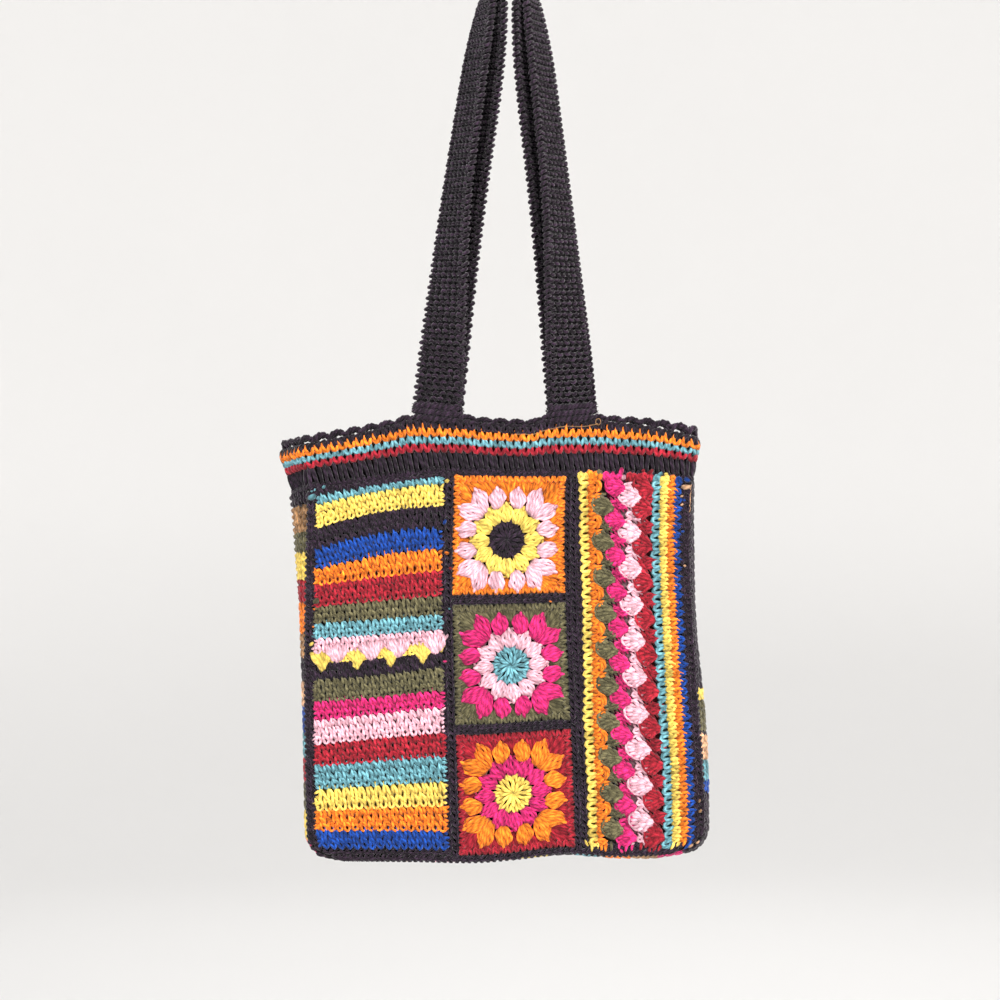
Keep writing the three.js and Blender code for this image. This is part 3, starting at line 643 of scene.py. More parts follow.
def layCloth(surface, xLines, yLines, heights, yarnOf, present=None, closed=False):
    # A closed layer between an outer and an inner height over a grid of lines. Cells that are absent leave
    # a hole, and every open edge is closed.
    rows, columns = len(yLines) - 1, len(xLines) - 1
    gx, gy = np.meshgrid(xLines[:-1] if closed else xLines, yLines)
    width = gx.shape[1]
    points = np.concatenate([onSurface(surface, gx, gy, h)[0].reshape(-1, 3) for h in heights])
    index = np.arange(gx.size).reshape(gx.shape)
    under = index + gx.size
    midX, midY = np.meshgrid((xLines[1:] + xLines[:-1]) / 2, (yLines[1:] + yLines[:-1]) / 2)
    filled = np.ones((rows, columns), bool) if present is None else present(midX, midY)
    r, c = np.nonzero(filled)
    n = (c + 1) % width
    faces = [
        np.stack([index[r, c], index[r, n], index[r + 1, n], index[r + 1, c]], axis=-1),
        np.stack([under[r, c], under[r + 1, c], under[r + 1, n], under[r, n]], axis=-1),
    ]
    cells = [(r, c), (r, c)]
    framed = np.pad(filled, 1)
    if closed:
        framed[:, 0], framed[:, -1] = framed[:, -2], framed[:, 1]
    for (down, aside), first, second in cellEdges:
        r, c = np.nonzero(filled & ~framed[1 + down : rows + 1 + down, 1 + aside : columns + 1 + aside])
        a, b = [(r + corner[0], (c + corner[1]) % width) for corner in (first, second)]
        faces.append(np.stack([index[b], index[a], under[a], under[b]], axis=-1))
        cells.append((r, c))
    faces = np.concatenate(faces)
    cellX, cellY = [np.concatenate([middles[cell] for cell in cells]) for middles in (midX, midY)]
    used, corners = np.unique(faces.reshape(-1), return_inverse=True)
    turned = gy.reshape(-1) / 8.0  # the fabric's plies, drawn with one turn in 8 mm
    uv = np.tile(np.stack([gx.reshape(-1), turned], axis=-1), (2, 1))[used][corners]
    # Painted shade: the outer side is dark where it shows between the stitches, the inner side lighter
    shade = np.where(used < gx.size, 0.5, 0.85)  # dark between the stitches, lighter on the inside
    return {"parts": [(points[used], corners, np.full(len(faces), 4), uv, yarnOf(cellX, cellY), shade)]}


def finishWork(name, work):
    # Joins the parts into one mesh, in metres, with one slot for each yarn in it
    points, corners, counts, uv, yarnIndex, shade = [np.concatenate(values) for values in zip(*work["parts"])]
    offsets = np.cumsum([0] + [len(part[0]) for part in work["parts"]])
    corners += np.repeat(offsets[:-1], [len(part[1]) for part in work["parts"]])
    present, slots = np.unique(yarnIndex, return_inverse=True)
    mesh = bpy.data.meshes.new(name)
    mesh.vertices.add(len(points))
    mesh.loops.add(len(corners))
    mesh.polygons.add(len(counts))
    for i in present:
        mesh.materials.append(yarnMaterials[yarnNames[i]])
    for data, key, values in (
        (mesh.vertices, "co", (points * toMetres).astype(np.float32)),
        (mesh.loops, "vertex_index", corners.astype(np.int32)),
        (mesh.polygons, "loop_start", (np.cumsum(counts) - counts).astype(np.int32)),
        (mesh.polygons, "material_index", slots.astype(np.int32)),
        (mesh.polygons, "use_smooth", np.ones(len(counts), bool)),
    ):
        data.foreach_set(key, values.ravel())
    mesh.uv_layers.new(name="strand").data.foreach_set("uv", uv.astype(np.float32).ravel())
    mesh.attributes.new("shade", "FLOAT", "POINT").data.foreach_set("value", shade.astype(np.float32))
    mesh.update()
    mesh.validate()
    piece = bpy.data.objects.new(name, mesh)
    bpy.context.scene.collection.objects.link(piece)
    print(name, int(np.sum(counts - 2)), "triangles")
    return piece


def dress(node, cloth, work):
    # A panel's stitches and the plain layer of fabric under them stand for the panel's solid
    laid = finishWork(node + "_stitches", work)
    base = finishWork(node + "_cloth", cloth)
    for piece in (laid, base):
        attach(piece, "root")
        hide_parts(node)


def evenly(start, stop, step):
    # Middles of equal parts of about the step's length
    count = max(1, round(abs(stop - start) / step))
    return start + (np.arange(count) + 0.5) * (stop - start) / count, abs(stop - start) / count


def lines(start, stop, step):
    return np.linspace(start, stop, max(1, round((stop - start) / step)) + 1)


def yarnUpTo(value, stops):
    # The number of the yarn with the first stop at or above each value. stops: rising pairs of value and yarn
    numbers = np.array([yarnNames.index(yarn) for _, yarn in stops])
    return numbers[np.minimum(np.searchsorted([stop for stop, _ in stops], value), len(stops) - 1)]


def blackAt(x, y):
    return np.full(len(x), yarnNames.index("black"))


# The plain layers of fabric under the stitches: mm from the surface to their outside and their inside
clothHeights = {"panel": (-1.6, -4.0), "gusset": (-1.8, -4.0), "band": (-1.4, -4.0), "strap": (1.1, -1.1)}

# The windows of the front border, mm from the face's left edge and from its bottom
windows = {
    "stripe": (8, 9.5, 108.6, 305.7),
    "top": (118.6, 210.1, 210.6, 305.7),
    "middle": (118.6, 107.4, 210.6, 203.0),
    "bottom": (118.6, 4.7, 210.6, 100.3),
    "shell": (220.6, 9.5, 304.6, 305.7),
    "back": (8, 9.5, 304.6, 305.7),
}


def layPatchCloth(surface, window, stepX, stepY, yarnOf):
    # The plain layer under a patch, a little smaller than its window
    x0, y0, x1, y1 = windows[window]
    inset = 0.3
    xLines, yLines = lines(x0 + inset, x1 - inset, stepX), lines(y0 + inset, y1 - inset, stepY)
    return layCloth(surface, xLines, yLines, clothHeights["panel"], yarnOf)


# Stripes of the left patch from the top: rows of stitches, the lower edge as a share of the patch's height
# at its left and right ends, and how far that edge bows up in between, in mm
stripePatch = {
    "across": 16,
    "yarn": 1.3,
    "lastRow": {"yarn": 1.15, "cup": ("yellow", "orange", "darkRed")},  # other yarns end in a row of vees
    "stripes": (
        ("black", 1, 0.02, 0.006, 0.8), ("lightBlue", 1, 0.046, 0.026, 2.0),
        ("yellow", 3, 0.109, 0.085, 4.0), ("black", 3, 0.17, 0.146, 4.0), ("blue", 2, 0.224, 0.199, 2.4),
        ("orange", 2, 0.267, 0.255, 0.0), ("darkRed", 3, 0.327, 0.324, 0.0),
        ("olive", 2, 0.374, 0.375, -0.5), ("lightBlue", 2, 0.416, 0.414, -1.0),
        ("palePink", 2, 0.46, 0.451, -1.0), ("yellow", 2, 0.485, 0.471, -1.0),
        ("black", 2, 0.532, 0.515, -2.0), ("olive", 3, 0.592, 0.576, -1.0),
        ("hotPink", 2, 0.645, 0.621, 0.0), ("palePink", 3, 0.712, 0.69, 0.0),
        ("darkRed", 3, 0.77, 0.751, 0.0), ("lightBlue", 3, 0.837, 0.82, 0.0),
        ("yellow", 2, 0.895, 0.883, 0.0), ("orange", 3, 0.95, 0.95, 0.0), ("blue", 2, 1.0, 1.0, 0.0),
    ),
}


def stripeEdge(stripe, across):
    # A stripe's lower edge: a straight line from left to right less a parabola that is the bow in the middle
    _, _, left, right, bow = stripe
    height = windows["stripe"][3] - windows["stripe"][1]
    return mix(left, right, across) - 4 * across * (1 - across) * bow / height


def stripeAt(share, across):
    # Which stripe lies at a share down the patch, as the yarn's number
    index = np.zeros(len(share), int)
    for stripe in stripePatch["stripes"][::-1]:
        index = np.where(share <= stripeEdge(stripe, across), yarnNames.index(stripe[0]), index)
    return index


def layRowEnds(work, left, right, middle, tall, yarn):
    # The turning yarn at both ends of a row, which pokes into the border
    chance = work["random"]
    for x, y, turn, size in ((left - 0.2, middle[0], 90, tall[0]), (right + 0.4, middle[-1], -90, tall[-1])):
        reach = chance.uniform(2.0, 6.0, 2)
        radius = chance.uniform(1.3, 1.8)
        turn = turn + chance.normal(0, 20, 2)
        ys = y + size * np.array([-0.22, 0.25])
        layStitches(work, frontFace, "spike", np.full(2, x), ys, 3.0, reach, yarn, radius, turn, 0.3)


# Two stripes of the patch end in scallops: pale pink fans that hang over the yellow row, and yellow ones
# between them that hang over the black row. across: shares of the patch's width; the rest is in mm from
# the pale pink stripe's lower edge.
hangings = {
    "yellow": {
        "across": (0.05, 0.33, 0.6, 0.855), "top": 3.5, "drop": -15.0, "wide": (21.0, 3.5), "round": 5.5,
        "lift": 1.2,
    },
    "palePink": {
        "across": (0.17, 0.44, 0.66, 0.955), "top": 9.0, "drop": -8.5, "wide": (20.0, 10.0), "round": 4.5,
        "lift": 1.7,
    },
}


def layHangings(work):
    # Strands that run down from a wide top to a narrower, rounded bottom
    x0, y0, x1, y1 = windows["stripe"]
    line = next(stripe for stripe in stripePatch["stripes"] if stripe[0] == "palePink")
    f = np.linspace(-1, 1, 9)
    t = np.array([0, 0.15, 0.4, 0.65, 0.88, 1.0])
    arch = np.array([-0.3, 1.2, 2.0, 2.1, 1.6, 0.2])
    thick = 1.35 * np.array([0.5, 0.9, 1.1, 1.15, 1.0, 0.5])
    shade = np.array([0.6, 0.85, 1.04, 1.0, 0.95, 0.7])
    for yarn, hanging in hangings.items():
        across = np.repeat(hanging["across"], len(f))[:, None]
        beside = np.tile(f, len(hanging["across"]))[:, None]
        edge = y1 - (y1 - y0) * stripeEdge(line, across)
        start = edge + hanging["top"] - 1.5 * np.abs(beside)
        stop = edge + hanging["drop"] + hanging["round"] * beside**2
        x = mix(x0, x1, across) + beside * mix(*hanging["wide"], t) / 2
        x = x + 0.5 * np.sin(9 * t + 2 * np.arange(len(x))[:, None])
        h = arch + hanging["lift"] - 0.5 * beside**2
        layPaths(work, frontFace, x, mix(start, stop, t), h, thick, yarn, shade, 0.3)


def makeStripePatch():
    x0, y0, x1, y1 = windows["stripe"]
    width, height = x1 - x0, y1 - y0
    work = startWork(11)
    columns, pitch = evenly(x0, x1, width / stripePatch["across"])
    share = (columns - x0) / width
    upper = np.zeros(len(columns))
    last = stripePatch["lastRow"]
    rowCount = 0
    for stripe in stripePatch["stripes"]:
        yarn, rows = stripe[:2]
        lower = stripeEdge(stripe, share)
        tall = height * (lower - upper) / rows
        for row in range(rows):
            middle = y1 - height * mix(upper, lower, (row + 0.5) / rows)
            xs = columns + (0.22 if rowCount % 2 else -0.22) * pitch
            tilt = np.degrees(np.arctan(np.gradient(middle, columns)))
            atEnd = row == rows - 1 and rows > 1 and yarn != "black"
            up, size = (0.26, 0.8) if atEnd else (0.0, 1.15)  # how far up and how tall, as shares of the row
            for kind in ("leftLeg", "rightLeg", "cross"):
                layStitches(
                    work, frontFace, kind, xs, middle + tall * up, pitch, tall * size, yarn,
                    stripePatch["yarn"], tilt + 3, 0.3 if row == 0 else 0.0,
                )
            if atEnd:
                kind = "cup" if yarn in last["cup"] else "vee"
                low, size = middle - tall * 0.24, tall * 0.66
                layStitches(work, frontFace, kind, xs, low, pitch, size, yarn, last["yarn"], tilt, 0.4)
            if yarn != "black":
                layRowEnds(work, x0, x1, middle, tall, yarn)
            rowCount += 1
        upper = lower
    layHangings(work)
    cloth = layPatchCloth(
        frontFace, "stripe", 5, 3.3, lambda x, y: stripeAt((y1 - y) / height, (x - x0) / width)
    )
    dress("stripe_patch", cloth, work)


makeStripePatch()

# The three flower squares, from their centres outwards: yarn of the centre, of the inner and outer petals
# and of the fans that fill the square
flowers = {
    "top": ("black", "yellow", "palePink", "orange"),
    "middle": ("lightBlue", "palePink", "hotPink", "olive"),
    "bottom": ("yellow", "hotPink", "orange", "darkRed"),
}
flower = {
    "ribs": (  # the centre's strands: from the middle outwards, and leaning two ways round its edge
        {"count": 12, "shift": 0.0, "lean": 0.0, "reach": (0.2, 10.5), "lift": 0.8, "yarn": 1.6},
        {"count": 15, "shift": 0.2, "lean": 0.08, "reach": (7.0, 16.2), "lift": 0.4, "yarn": 1.4},
        {"count": 15, "shift": 0.7, "lean": -0.08, "reach": (7.0, 15.4), "lift": 0.2, "yarn": 1.4},
    ),
    "innerFrom": 2,  # degrees
    "inner": {"base": 14.2, "tip": 29.4, "wide": 12.6, "strands": 5},
    "side": {"beside": (17.0, 12.0), "base": 25.5, "tip": 42.5, "wide": 14.2, "strands": 6},
    "corner": {"beside": (5.0, 11.5), "base": 27.0, "tip": 48.5, "wide": 14.6, "strands": 6},
    "tipFill": {"from": 36.0, "beside": (-2.2, 0, 2.2), "inset": 2.0},
    "fanStep": 3.6,
    "fanGaps": (0, 24, 45, 66),  # degrees from each quarter to the gaps the fans spring from
    "rim": {"pitch": 5.2, "tall": 5.6, "yarn": 1.25, "lift": 0.6},
    # Within this the fabric is black, partly the body's fabric and partly painted shade in the holes between
    # the petals
    "fabricFrom": 37,  # mm from the centre to where the fabric takes the fans' yarn
    "fanBase": 29,
    "yarn": 1.3,
    "topBow": 1.6,  # how far the top edge of a square curves up into the border
    "offMiddle": {"top": (-1.6, -4.0), "middle": (0.4, -1.6), "bottom": (-2.0, -0.7)},  # mm
}


def around(middle, out, a, aside=0.0):
    # The point at a distance out from the middle along an angle, and so far aside from there
    return middle[0] + out * np.cos(a) - aside * np.sin(a), middle[1] + out * np.sin(a) + aside * np.cos(a)


def layPetals(work, middle, angles, petal, yarn, lift):
    # Each petal is a few strands side by side that swell to a belly and meet at both ends. angles: those
    # of a petal's base and of its tip, in degrees
    run = np.array([0, 0.08, 0.22, 0.38, 0.55, 0.72, 0.88, 1.0])
    belly = np.array([0.2, 0.38, 0.62, 0.86, 1.0, 0.98, 0.74, 0.38])
    arch = np.array([-0.9, 0.7, 1.6, 2.0, 2.1, 1.8, 1.0, -0.4])
    thick = np.array([0.7, 0.95, 1.05, 1.1, 1.12, 1.08, 0.95, 0.65])
    chance = work["random"]
    base, tip = [np.repeat(np.radians(angle), petal["strands"])[:, None] for angle in angles]
    f = np.tile(np.linspace(-1, 1, petal["strands"]), len(angles[0]))[:, None]
    out = petal["base"] + (petal["tip"] - petal["base"]) * run * (1 - 0.12 * f**2)
    sway = 0.32 * np.sin(chance.uniform(0, 2 * pi, (len(f), 1)) + 9 * run)
    aside = f * belly * (petal["wide"] / 2 - flower["yarn"]) + sway
    h = lift + arch * (1 - 0.3 * f**2) + chance.normal(0, 0.3, (len(f), 1))
    shade = np.clip(0.7 + 0.17 * arch, 0.5, 1.05)
    place = around(middle, out, mix(base, tip, run), aside)
    layPaths(work, frontFace, *place, h, flower["yarn"] * thick, yarn, shade, 0.3, 6)
    # A short strand closes each tip
    place = around(middle, petal["tip"] + np.array([-3.5, -1.4, 0.2, 0.9]), np.radians(angles[1])[:, None])
    h = lift + np.array([1.3, 1.4, 0.9, 0.0])
    layPaths(work, frontFace, *place, h, flower["yarn"] * np.array([0.9, 1.2, 1.0, 0.6]), yarn, sides=6)


def layTipLoops(work, middle, angles, radius, yarn):
    # The chain that joins the tips of the inner petals: a shallow bow from each tip to the next
    t = np.linspace(0.1, 0.9, 6)
    bow = np.sin(pi * t)
    turn = np.radians(np.sort(angles))[:, None] + np.radians(360 / len(angles)) * t
    place = around(middle, radius + 1.3 * bow, turn)
    thick = 1.15 * np.array([0.7, 1, 1.1, 1.1, 1, 0.7])
    layPaths(work, frontFace, *place, 0.6 + 0.5 * bow, thick, yarn, 0.95, 0.1)


def layFans(work, middle, half, off, yarn):
    # Strands from each gap between two outer petals to the square's edge, bent like a fan's ribs
    inset, edge = 0.8, 1.1
    px, py = [evenly(inset - size, size - inset, flower["fanStep"])[0] for size in half]
    ends = np.concatenate([
        np.column_stack(np.broadcast_arrays(*pair))
        for pair in ((px, half[1] - edge), (px, edge - half[1]), (half[0] - edge, py), (edge - half[0], py))
    ])
    gaps = (np.arange(4)[:, None] * 90 + flower["fanGaps"]).ravel()
    away = np.degrees(np.arctan2(ends[:, 1] - off[1], ends[:, 0] - off[0]))[:, None] - gaps
    gap = np.radians(gaps[np.argmin(np.abs((away + 180) % 360 - 180), axis=1)])
    ray = np.column_stack([np.cos(gap), np.sin(gap)])
    ends[:, 1] += np.where(ends[:, 1] > half[1] - 2, flower["topBow"] * (1 - (ends[:, 0] / half[0]) ** 2), 0)
    ends += work["random"].normal(0, 0.35, ends.shape) - off
    base = ray * flower["fanBase"]
    reach = np.linalg.norm(ends, axis=1)[:, None]
    bendPoint = ray * mix(flower["fanBase"], reach, 0.2)
    t = np.array([0, 0.2, 0.42, 0.65, 0.86, 1.0])[:, None]
    line = base[:, None] * (1 - t) ** 2 + 2 * bendPoint[:, None] * t * (1 - t) + ends[:, None] * t**2
    h = np.array([-0.4, 0.3, 0.8, 1.1, 1.0, -0.5])
    thick = flower["yarn"] * np.array([0.6, 0.8, 1.0, 1.15, 1.2, 0.8])
    shade = np.array([0.55, 0.68, 0.85, 0.96, 1.0, 0.8]) * work["random"].uniform(0.82, 1.06, (len(ends), 1))
    layPaths(work, frontFace, middle[0] + line[..., 0], middle[1] + line[..., 1], h, thick, yarn, shade)


def layTipFill(work, middle, half, off, angles, yarn):
    # Where two fans meet over a petal's tip: strands side by side from under the tip to the square's edge
    fill = flower["tipFill"]
    a = np.repeat(np.radians(angles), len(fill["beside"]))[:, None]
    beside = np.tile(fill["beside"], len(angles))[:, None]
    ray = np.concatenate([np.cos(a), np.sin(a)], axis=1)
    room = (np.array(half) - fill["inset"] - off * np.sign(ray)) / np.maximum(np.abs(ray), 1e-6)
    out = mix(fill["from"], np.min(room, axis=1)[:, None], np.array([0, 0.3, 0.6, 0.85, 1.0]))
    h = np.array([-0.6, 0.1, 0.6, 0.8, 0.2])
    thick = flower["yarn"] * np.array([0.8, 1.1, 1.1, 1.1, 0.8])
    shade = np.array([0.7, 0.8, 0.9, 0.98, 0.9])
    layPaths(work, frontFace, *around(middle, out, a, beside), h, thick, yarn, shade)


def layRim(work, window, yarn):
    # A row of small pointed stitches along the inside of a square's edge
    x0, y0, x1, y1 = np.array(window) + (0.4, 0.4, -0.4, -0.4)
    rim = flower["rim"]
    xs, px = evenly(x0, x1, rim["pitch"])
    ys, py = evenly(y0, y1, rim["pitch"])
    half = rim["tall"] / 2
    for x, y, wide, turn in (
        (xs, y1 - half, px, 0), (xs, y0 + half, px, 180), (x0 + half, ys, py, 90), (x1 - half, ys, py, -90)
    ):
        layStitches(work, frontFace, "vee", x, y, wide, rim["tall"], yarn, rim["yarn"], turn, rim["lift"])


def layCentre(work, middle, yarn):
    # The ribs of the centre, each thickest at its middle, with ends of uneven length
    t = np.array([0, 0.3, 0.65, 0.9, 1.0])
    arch = np.array([-0.4, 0.6, 1.0, 0.7, -0.6])
    thick = np.array([0.35, 0.7, 1.0, 1.0, 0.6])
    shade = np.array([0.75, 0.95, 1.05, 0.95, 0.6])
    for rib in flower["ribs"]:
        a = 2 * pi * (np.arange(rib["count"]) + rib["shift"]) / rib["count"]
        a = a[:, None] + rib["lean"] * np.array([-1, -0.5, 0, 0.5, 1])
        ragged = work["random"].normal(0, 0.5, (rib["count"], 1)) * np.array([0, 0, 0, 0.6, 1])
        place = around(middle, mix(*rib["reach"], t) + ragged, a)
        layPaths(work, frontFace, *place, rib["lift"] + arch, rib["yarn"] * thick, yarn, shade, 0.2, 6)


def makeFlowerSquare(place):
    centreYarn, innerYarn, outerYarn, fanYarn = flowers[place]
    x0, y0, x1, y1 = windows[place]
    off = np.array(flower["offMiddle"][place])
    middle = np.array([(x0 + x1) / 2, (y0 + y1) / 2]) + off
    half = ((x1 - x0) / 2, (y1 - y0) / 2)
    work = startWork(21 + len(place))
    layFans(work, middle, half, off, fanYarn)
    layRim(work, windows[place], fanYarn)
    side, corner = [
        [np.concatenate([start + away, start - away]) for away in flower[kind]["beside"]]
        for kind, start in (("side", np.arange(4) * 90), ("corner", np.arange(4) * 90 + 45))
    ]
    layTipFill(work, middle, half, off, np.concatenate([side[1], corner[1]]), fanYarn)
    layPetals(work, middle, side, flower["side"], outerYarn, 1.3)
    layPetals(work, middle, corner, flower["corner"], outerYarn, 1.3)
    inner = flower["innerFrom"] + np.arange(12) * 30
    layPetals(work, middle, (inner, inner), flower["inner"], innerYarn, 1.0)
    layTipLoops(work, middle, inner, flower["inner"]["tip"] - 0.6, innerYarn)
    layCentre(work, middle, centreYarn)
    # Black fabric near the middle, partly painted shade where the holes between the petals show
    stops = ((flower["fabricFrom"], "black"), (np.inf, fanYarn))
    cloth = layPatchCloth(
        frontFace, place, 4, 4, lambda x, y: yarnUpTo(np.hypot(x - middle[0], y - middle[1]), stops)
    )
    dress("flower_square_" + place, cloth, work)


for place in flowers:
    makeFlowerSquare(place)

# The right patch is worked in upright rows: plain rows at its sides and rows of shells between them.
# shells: yarn, left and right edge in mm from the patch's left edge, height of the lowest shell's middle,
# from there to the next one and the height of a shell
shellPatch = {
    "shells": (
        ("darkRed", 44.5, 62.0, 15.5, 29.45, 21.5), ("palePink", 32.4, 53.2, 28.0, 29.15, 20.5),
        ("hotPink", 21.8, 39.5, 11.5, 28.75, 18.5), ("olive", 10.6, 29.5, 21.6, 28.9, 18.0),
    ),
    "lifts": (0.9, 0.7, 0.5, 0.9),  # how far the shells of a row stand out, mm
    "plain": (
        ("orange", "loop", 7.2, 14.5), ("yellow", "cup", 0.8, 8.4), ("blue", "loop", 77.6, 84.6),
        ("orange", "loop", 72.0, 80.6), ("yellow", "loop", 66.6, 74.6), ("lightBlue", "cup", 60.6, 68.0),
    ),
    "plainPitch": 7.1,
    "ends": (6.0, 8.0),  # the nearest a shell's middle comes to the patch's lower and upper edges
    "first": (-9.5, 11),  # mm to add to the lowest middle's height, and how many middles at most
    "foot": 7.5,  # mm from a shell's right edge to the middle of its oval
    "spread": (-80, 84),  # degrees
    # Strands of a shell: from and to as shares of the way out, how many and shifted by what share of a step
    "rings": ((0.62, 1.0, 8, 0.0), (0.30, 0.74, 7, 0.5), (0.0, 0.42, 4, 0.5)),
    "yarn": 1.55,
    "leanIn": 3.2,  # how far the left rows stand to the right below the patch's top
    "leanOver": 205,  # how far below the top they are back, mm
    "fabric": (  # where the fabric's yarn changes, mm from the patch's left edge
        (8.2, "yellow"), (14, "orange"), (24, "olive"), (34, "hotPink"), (46, "palePink"), (60, "darkRed"),
        (66, "lightBlue"), (72, "yellow"), (78, "orange"), (200, "blue"),
    ),
    "tops": (  # the ragged upper ends of the rows
        ("yellow", 0, 8), ("orange", 8, 15), ("olive", 15, 19), ("hotPink", 20, 36), ("darkRed", 39, 60),
        ("lightBlue", 61, 67), ("yellow", 67, 74), ("orange", 74, 79), ("blue", 79, 84),
    ),
}


def leanIn(x, y):
    # The left rows lean to the right between the top and the middle: a half sine down, fading across
    x0, y0, x1, y1 = windows["shell"]
    down = np.clip((y1 - y) / shellPatch["leanOver"], 0, 1)
    return x + shellPatch["leanIn"] * np.sin(pi * down) * (x1 - x) / (x1 - x0)


# Stitches and strands of the right patch that lean with its rows
def layRow(work, kind, x, y, *rest, **more):
    layStitches(work, frontFace, kind, leanIn(x, y), y, *rest, **more)


def layRun(work, x, y, *rest):
    layPaths(work, frontFace, leanIn(x, y), y, *rest)


def layShells(work, left, right, middles, high, yarn, lift):
    # A shell is a fan: short strands in three rings spread from one point at the right to an oval's edge
    # at the left, and one strand runs along that edge

    def edgeAt(m, a, inset):
        x = foot - (foot - left - inset) * np.cos(a)
        return x, m + 1.0 + (high / 2 - inset) * np.sin(a)

    foot = right - shellPatch["foot"]
    least, most = shellPatch["spread"]
    thick = shellPatch["yarn"] * np.array([0.6, 1.0, 1.15, 1.05, 0.7])
    shade = np.array([0.6, 0.98, 1.06, 0.98, 0.6])
    arch = np.array([-0.5, 0.8, 1.1, 0.8, -0.4])
    for near, far, count, shift in shellPatch["rings"]:
        spread = np.radians(np.linspace(least, most, count + 1)[:-1] + shift * (most - least) / count + 4)
        m = np.repeat(middles, count)[:, None]
        a = np.tile(spread, len(middles))[:, None] + work["random"].normal(0, 0.05, (len(m), 1))
        endX, endY = edgeAt(m, a, 0.7)
        t = mix(near, far, np.array([0, 0.22, 0.5, 0.78, 1.0]))
        h = lift + 1.4 * np.sin(pi * np.clip(t, 0.1, 0.95)) + arch
        layRun(work, mix(right - 0.5, endX, t), mix(m - 2.5, endY, t), h, thick, yarn, shade, 0.12)
    x, y = edgeAt(middles[:, None], np.radians(np.linspace(-88, 92, 11)), 0.3)
    h = lift + np.array([-0.2, 0.6, 1.1, 1.2, 1.2, 1.2, 1.2, 1.2, 1.1, 0.6, -0.2])
    layRun(work, x, y, h, 1.25, yarn, 1.0, 0.15)


def layShellNeighbours(work, left, between):
    # Orange bows that bulge in between the olive shells and two pointed stitches below each of them
    t = np.linspace(-1, 1, 9)
    h = 1.6 + 0.9 * np.cos(pi * t / 2)
    for reach, tall in ((4.2, 5.2), (2.2, 3.6)):
        y = between[:, None] + 1.9 + tall * t
        layRun(work, left + 0.4 + reach * np.sqrt(1 - 0.98 * t**2), y, h, 1.5, "orange", 1.0, 0.15)
    x = leanIn(left + 2.4, between)
    for beside in (-5.6, -7.6):
        layStitches(work, frontFace, "spike", x, between + beside, 4.0, 6.5, "orange", 1.5, -82, 1.0)


# Loose bits round the patches: ends and knots of yarn that show through the borders. Yarn, mm across and
# up the face, length, radius and turn in degrees
looseBits = (
    ("lightBlue", 2.5, 300.1, 5.0, 2.3, 15), ("lightBlue", 5.0, 305.6, 1.6, 0.8, 60),
    ("lightBlue", 12.5, 306.6, 2.2, 1.2, 40), ("lightBlue", 2.5, 304.8, 1.4, 0.7, 0),
    ("yellow", 113.0, 300.6, 2.6, 1.5, 20), ("blue", 112.0, 268.1, 3.6, 1.2, 60),
    ("darkRed", 117.0, 231.6, 1.6, 1.0, 10), ("orange", 114.0, 243.6, 3.2, 1.3, -20),
    ("orange", 198.1, 203.6, 1.8, 0.8, -30), ("olive", 8.0, 213.6, 4.2, 2.1, 35),
    ("orange", 6.5, 207.1, 1.6, 0.8, 0), ("orange", 6.0, 192.6, 1.6, 0.8, 0),
    ("yellow", 4.5, 178.6, 3.2, 1.3, 30), ("yellow", 5.0, 170.6, 3.0, 1.3, 0),
    ("lightBlue", 116.0, 199.6, 1.5, 0.7, 0), ("orange", 238.1, 305.1, 3.6, 2.4, 40),
    ("yellow", 226.6, 305.6, 2.2, 1.2, 0), ("hotPink", 255.1, 309.6, 6.5, 1.8, 80),
    ("hotPink", 248.6, 309.0, 1.4, 0.9, 0), ("palePink", 257.6, 305.1, 3.4, 1.7, 70),
    ("darkRed", 279.1, 310.5, 6.0, 1.7, 50), ("darkRed", 273.1, 311.5, 2.0, 1.1, 40),
    ("lightBlue", 287.1, 309.8, 4.0, 1.4, 40), ("yellow", 291.6, 310.0, 2.2, 1.2, 0),
    ("blue", 309.1, 307.1, 4.2, 1.9, -30), ("peach", 309.1, 301.1, 6.5, 1.9, 10),
    ("peach", 305.6, 293.1, 2.2, 0.9, 20), ("peach", 306.1, 286.1, 2.2, 0.9, 30),
    ("blue", 307.6, 290.1, 1.8, 0.9, 0), ("blue", 307.1, 264.1, 2.2, 1.1, 0),
    ("peach", 308.6, 236.1, 1.8, 0.8, 0), ("tan", 309.1, 42.5, 2.8, 0.9, 70),
    ("tan", 309.6, 34.0, 2.2, 1.2, 40), ("peach", 311.0, 8.0, 2.4, 0.8, 60),
    ("peach", 307.0, 5.5, 3.2, 1.1, 30), ("hotPink", 248.6, 4.0, 3.0, 1.2, -60),
    ("darkRed", 272.1, 4.0, 3.0, 1.2, -70), ("yellow", 219.6, 9.0, 5.0, 0.9, -60),
    ("hotPink", 111.6, 158.0, 2.6, 1.0, 0), ("palePink", 256.1, 10.0, 3.0, 1.2, 20),
)


def layLooseBits(work):
    for yarn, x, y, length, radius, turn in looseBits:
        across = length * np.cos(radians(turn)), length * np.sin(radians(turn))
        layStitches(work, frontFace, "bar", x, y, across[0], across[1], yarn, radius, lift=1.8)
    y = np.linspace(303.6, 280.6, 9)[None]  # and a thin strand down the right edge
    layPaths(work, frontFace, 312.4 + 0.3 * np.sin(y), y, 1.6, 0.6, "peach")


